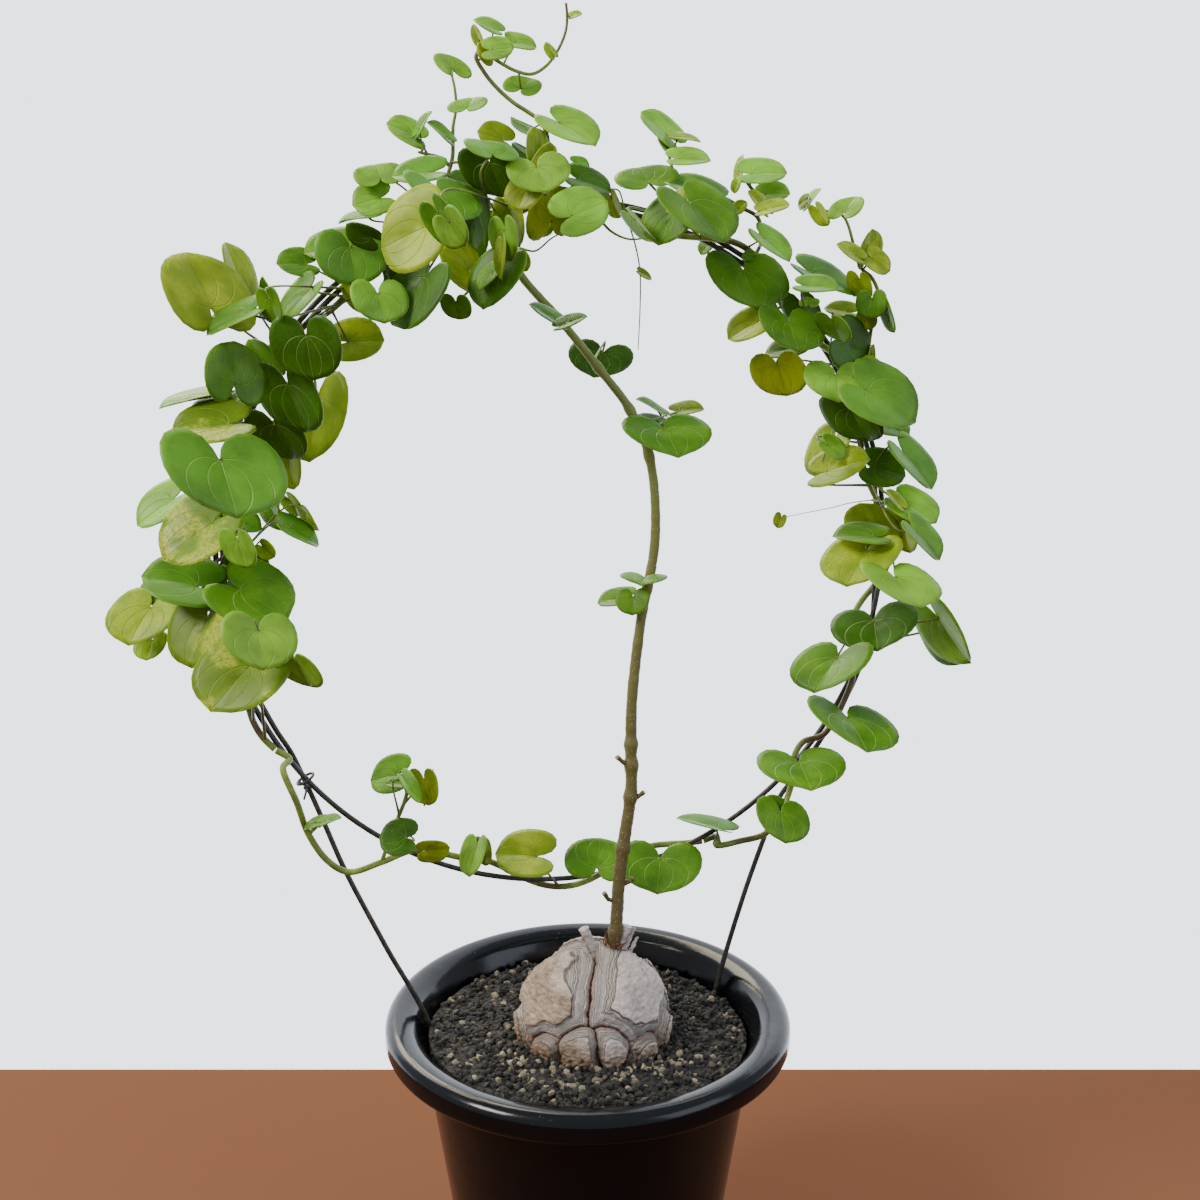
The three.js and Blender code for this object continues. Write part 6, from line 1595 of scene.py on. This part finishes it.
# Painted highlight: a thin pale line along each blade's edge, drawn in the veins' colour.
margin_highlight_mask = add_node(leaf_skin, "Math", {0: margin_highlight_mark.outputs["Fac"], 1: 7.0}, operation="POWER")
veins_and_margin_highlight = add_node(leaf_skin, "Math", {0: vein_mask, 1: net_mask}, operation="MAXIMUM")
veins_and_margin_highlight = add_node(leaf_skin, "Math", {0: veins_and_margin_highlight, 1: margin_highlight_mask}, operation="MAXIMUM")
cells = add_node(leaf_skin, "TexNoise", {"Vector": on_blade, "Scale": 5.5, "Detail": 5, "Roughness": 0.65})
flecks = add_node(leaf_skin, "TexNoise", {"Vector": on_blade, "Scale": 26, "Detail": 5, "Roughness": 0.75})
shading = add_node(leaf_skin, "TexNoise", {"Vector": on_blade, "Scale": 2.2, "Detail": 3})
fleck_mask = add_node(leaf_skin, "ValToRGB", {"Fac": flecks}, [(0.42, grey(0.05)), (0.56, grey(1))])
sector = add_node(leaf_skin, "ValToRGB", {"Fac": shading}, [(0.5, grey(0)), (0.57, grey(1))])
blotch = add_node(leaf_skin, "Math", {0: fleck_mask, 1: sector}, operation="MULTIPLY")
blotch_share = add_node(leaf_skin, "Math", {0: blotch, 1: tint.outputs["Alpha"]}, operation="MULTIPLY")
# Painted shade: a broad noise darkens some parts of each blade and lightens others.
painted_shade_tone = add_node(leaf_skin, "ValToRGB", {"Fac": shading}, [(0.32, grey(0.66)), (0.68, grey(1.2))])
shaded = add_node(
    leaf_skin,
    "Mix",
    {"Factor": 1.0, "A": tint.outputs["Color"], "B": painted_shade_tone},
    data_type="RGBA",
    blend_type="MULTIPLY",
)
mottled = add_node(
    leaf_skin, "Mix", {"Factor": blotch_share, "A": shaded, "B": srgb(0xBDB83A)}, data_type="RGBA"
)
vein_and_highlight_amount = add_node(leaf_skin, "Math", {0: veins_and_margin_highlight, 1: 0.18}, operation="MULTIPLY")
veined_and_highlighted = add_node(
    leaf_skin, "Mix", {"Factor": vein_and_highlight_amount, "A": mottled, "B": srgb(0xB4D060)}, data_type="RGBA"
)
under_amount = add_node(leaf_skin, "Math", {0: under_mark.outputs["Fac"], 1: 0.3}, operation="MULTIPLY")
whole_tone = add_node(
    leaf_skin, "Mix", {"Factor": under_amount, "A": veined_and_highlighted, "B": srgb(0x7C981A)}, data_type="RGBA"
)
set_input(leaf_skin, leaf_shader, "Base Color", whole_tone)
sheen_map = add_node(leaf_skin, "MapRange", {"Value": cells, "To Min": 0.32, "To Max": 0.52})
set_input(leaf_skin, leaf_shader, "Roughness", sheen_map)
vein_relief = add_node(leaf_skin, "Bump", {"Height": vein_mask, "Distance": -0.18 * MM})
set_input(leaf_skin, leaf_shader, "Normal", vein_relief)

TINY_LEAVES = {  # that the solids leave out, each with how far forward of the trellis it stands
    "hanging_shoot": [((641, 273, 652, 279, 646, 272, 644, 279, 1, 2), 8)],
    "vine_right_mid": [((781, 518, 777, 528, 771, 519, 783, 524, 1, 2), 8)],
}
TINY_SHOOTS = {  # thin shoots and tendrils that the solids leave out too, each with its radius
    "vine_right_mid": (0.16, [(872, 500, 6), (850, 503, 7), (830, 508, 8), (800, 514, 8), (781, 518, 8)]),
    "vine_bottom": (0.28, [(424, 806, 9), (428, 792, 9), (421, 778, 9), (410, 775, 9), (404, 780, 9)]),
    "vine_top_right": (0.42, [(600, 220, 3), (612, 232, 6), (628, 239, 7), (648, 238, 6)]),
    "vine_right_high": (0.3, [(845, 392, 8), (836, 420, 10), (828, 446, 12), (822, 462, 13)]),
    "vine_top": (0.28, [(520, 248, 10), (535, 251, 12), (552, 238, 12), (572, 228, 12), (580, 226, 8)]),
}
HAIR_SHARE = 0.4  # of the solid's radius, for the hanging shoot, which is thin as a hair
SHOOT_TAPER = 0.6
STALK_RADII = [0.5, 0.45, 0.42, 0.5, 0.7]  # of a large leaf's petiole, from the notch to the stem

for node, stems in STEMS.items():
    triangles = node_triangles(node)
    corners = np.unique(triangles.reshape(-1, 3).round(4), axis=0)
    green = bmesh.new()
    stem_places = []
    for points, radius in stems:
        path = smooth_path(points, 1.0)
        stem_places.extend(path[::2])
        if node != "main_stem":
            radius *= HAIR_SHARE if node == "hanging_shoot" else 1
            taper = SHOOT_TAPER if "shoot" in node else 1
            add_tube(green, path, [radius, radius, radius * taper], 10)
    if node in TINY_SHOOTS:
        radius, places = TINY_SHOOTS[node]
        tendril = smooth_path(route(places), 0.8)
        add_tube(green, tendril, [1.4 * radius, radius, 0.8 * radius], 8)
        stem_places.extend(tendril)
    blades = bmesh.new()
    layers = (
        blades.verts.layers.float_color.new("leaf_tint"),
        blades.verts.layers.float_vector.new("blade_place"),
        blades.verts.layers.float.new("under_side"),
        blades.verts.layers.float.new("margin_highlight"),
    )
    rows = [(row, None) for row in LEAVES.get(node, [])] + TINY_LEAVES.get(node, [])
    for k, (row, forward) in enumerate(rows):
        leaf = Leaf(*row)
        if forward is None:
            leaf.find(corners)
            line = petiole_line(leaf, triangles, corners, stem_places)
        else:
            notch = seen_at(*row[:2], forward)
            leaf.share = (notch - EYE).length / (leaf.notch - EYE).length
            line = [notch, min(stem_places, key=lambda place: (place - notch).length)]
        add_blade(blades, layers, leaf, 100 * list(STEMS).index(node) + k)
        thin = min(1.0, 0.5 + leaf.width / 60)
        add_tube(green, smooth_path(line, 0.8), [radius * thin for radius in STALK_RADII], 8)
    if blades.verts:
        add_piece(node + "_blades", blades, leaf_skin, "foliage", node)
    else:
        blades.free()
    add_piece(node + "_stems", green, green_stem, "foliage", node)


# The room
# A plain floor, brown near the pot, that curves up into a wall. All behind the brown part glows in one pale
# tone. The light is soft, from the upper left and from behind.
FLOOR_HALF = 2400
FLOOR_GAP = 0.05  # how far the floor lies under the pot's foot
WALL_PLACE = 1500
WALL_CURVE = 500
WALL_TOP = 2600
WALL_TONE = 0xEBF1FA
WALL_GLOW = 3.1
FLOOR_EDGE = 177  # how far behind the pot's middle the brown part of the floor ends
room = bmesh.new()
curve = arc(WALL_PLACE - WALL_CURVE, WALL_CURVE, WALL_CURVE, -90, 0, 9)
profile = [(-FLOOR_HALF, 0), *curve, (WALL_PLACE, WALL_TOP)]
corners = [room.verts.new((-FLOOR_HALF, y, z - FLOOR_GAP)) for y, z in profile]
edges = [room.edges.new(pair) for pair in zip(corners, corners[1:])]
swept = bmesh.ops.extrude_edge_only(room, edges=edges)
moved = [part for part in swept["geom"] if isinstance(part, bmesh.types.BMVert)]
bmesh.ops.translate(room, vec=(2 * FLOOR_HALF, 0, 0), verts=moved)
bmesh.ops.recalc_face_normals(room, faces=room.faces)
bmesh.ops.scale(room, vec=(MM, MM, MM), verts=room.verts)
room_mesh = bpy.data.meshes.new("backdrop")
room.to_mesh(room_mesh)
room.free()
room_mesh.shade_smooth()
backdrop_paint, backdrop_shader = new_material(
    "pale_backdrop", roughness=0.85, specular_ior_level=0, emission_strength=WALL_GLOW
)
ground = add_node(
    backdrop_paint, "SeparateXYZ", {"Vector": add_node(backdrop_paint, "TexCoord").outputs["Object"]}
)
ground_share = add_node(
    backdrop_paint, "Math", {0: ground.outputs["Y"], 1: FLOOR_EDGE * MM}, operation="LESS_THAN"
)
wall_glow = add_node(
    backdrop_paint,
    "Mix",
    {"Factor": ground_share, "A": srgb(WALL_TONE), "B": srgb(0x000000)},
    data_type="RGBA",
)
painted = add_node(
    backdrop_paint,
    "Mix",
    {"Factor": ground_share, "A": srgb(0x000000), "B": srgb(0x684634)},
    data_type="RGBA",
)
set_input(backdrop_paint, backdrop_shader, "Base Color", painted)
set_input(backdrop_paint, backdrop_shader, "Emission Color", wall_glow)
room_mesh.materials.append(backdrop_paint)
backdrop = bpy.data.objects.new("backdrop", room_mesh)
bpy.context.scene.collection.objects.link(backdrop)
backdrop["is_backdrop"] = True

world = bpy.data.worlds.new("soft_sky")
world.use_nodes = True
world.node_tree.nodes["Background"].inputs["Color"].default_value = srgb(0xE4ECF5)
world.node_tree.nodes["Background"].inputs["Strength"].default_value = 0.95
bpy.context.scene.world = world


def add_light(name, place, size, power, code):
    """A soft area light that faces the middle of the plant."""
    settings = bpy.data.lights.new(name, "AREA")
    settings.size = size
    settings.energy = power
    settings.color = srgb(code)[:3]
    light = bpy.data.objects.new(name, settings)
    light.location = place
    light.rotation_euler = (Vector((0, 0, 0.25)) - light.location).to_track_quat("-Z", "Y").to_euler()
    light.visible_camera = False
    bpy.context.scene.collection.objects.link(light)


add_light("window", Vector((-1.3, -0.7, 1.5)), 0.6, 46, 0xFFF8EC)
add_light("sky_behind", Vector((-0.7, 1.1, 1.4)), 1.0, 36, 0xFFF3D2)
add_light("fill", Vector((1.5, -0.9, 0.9)), 1.2, 14, 0xE6EFFF)

sizes = {"cad": [list(corner) for corner in cad_box], "visual": [list(corner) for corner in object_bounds()]}
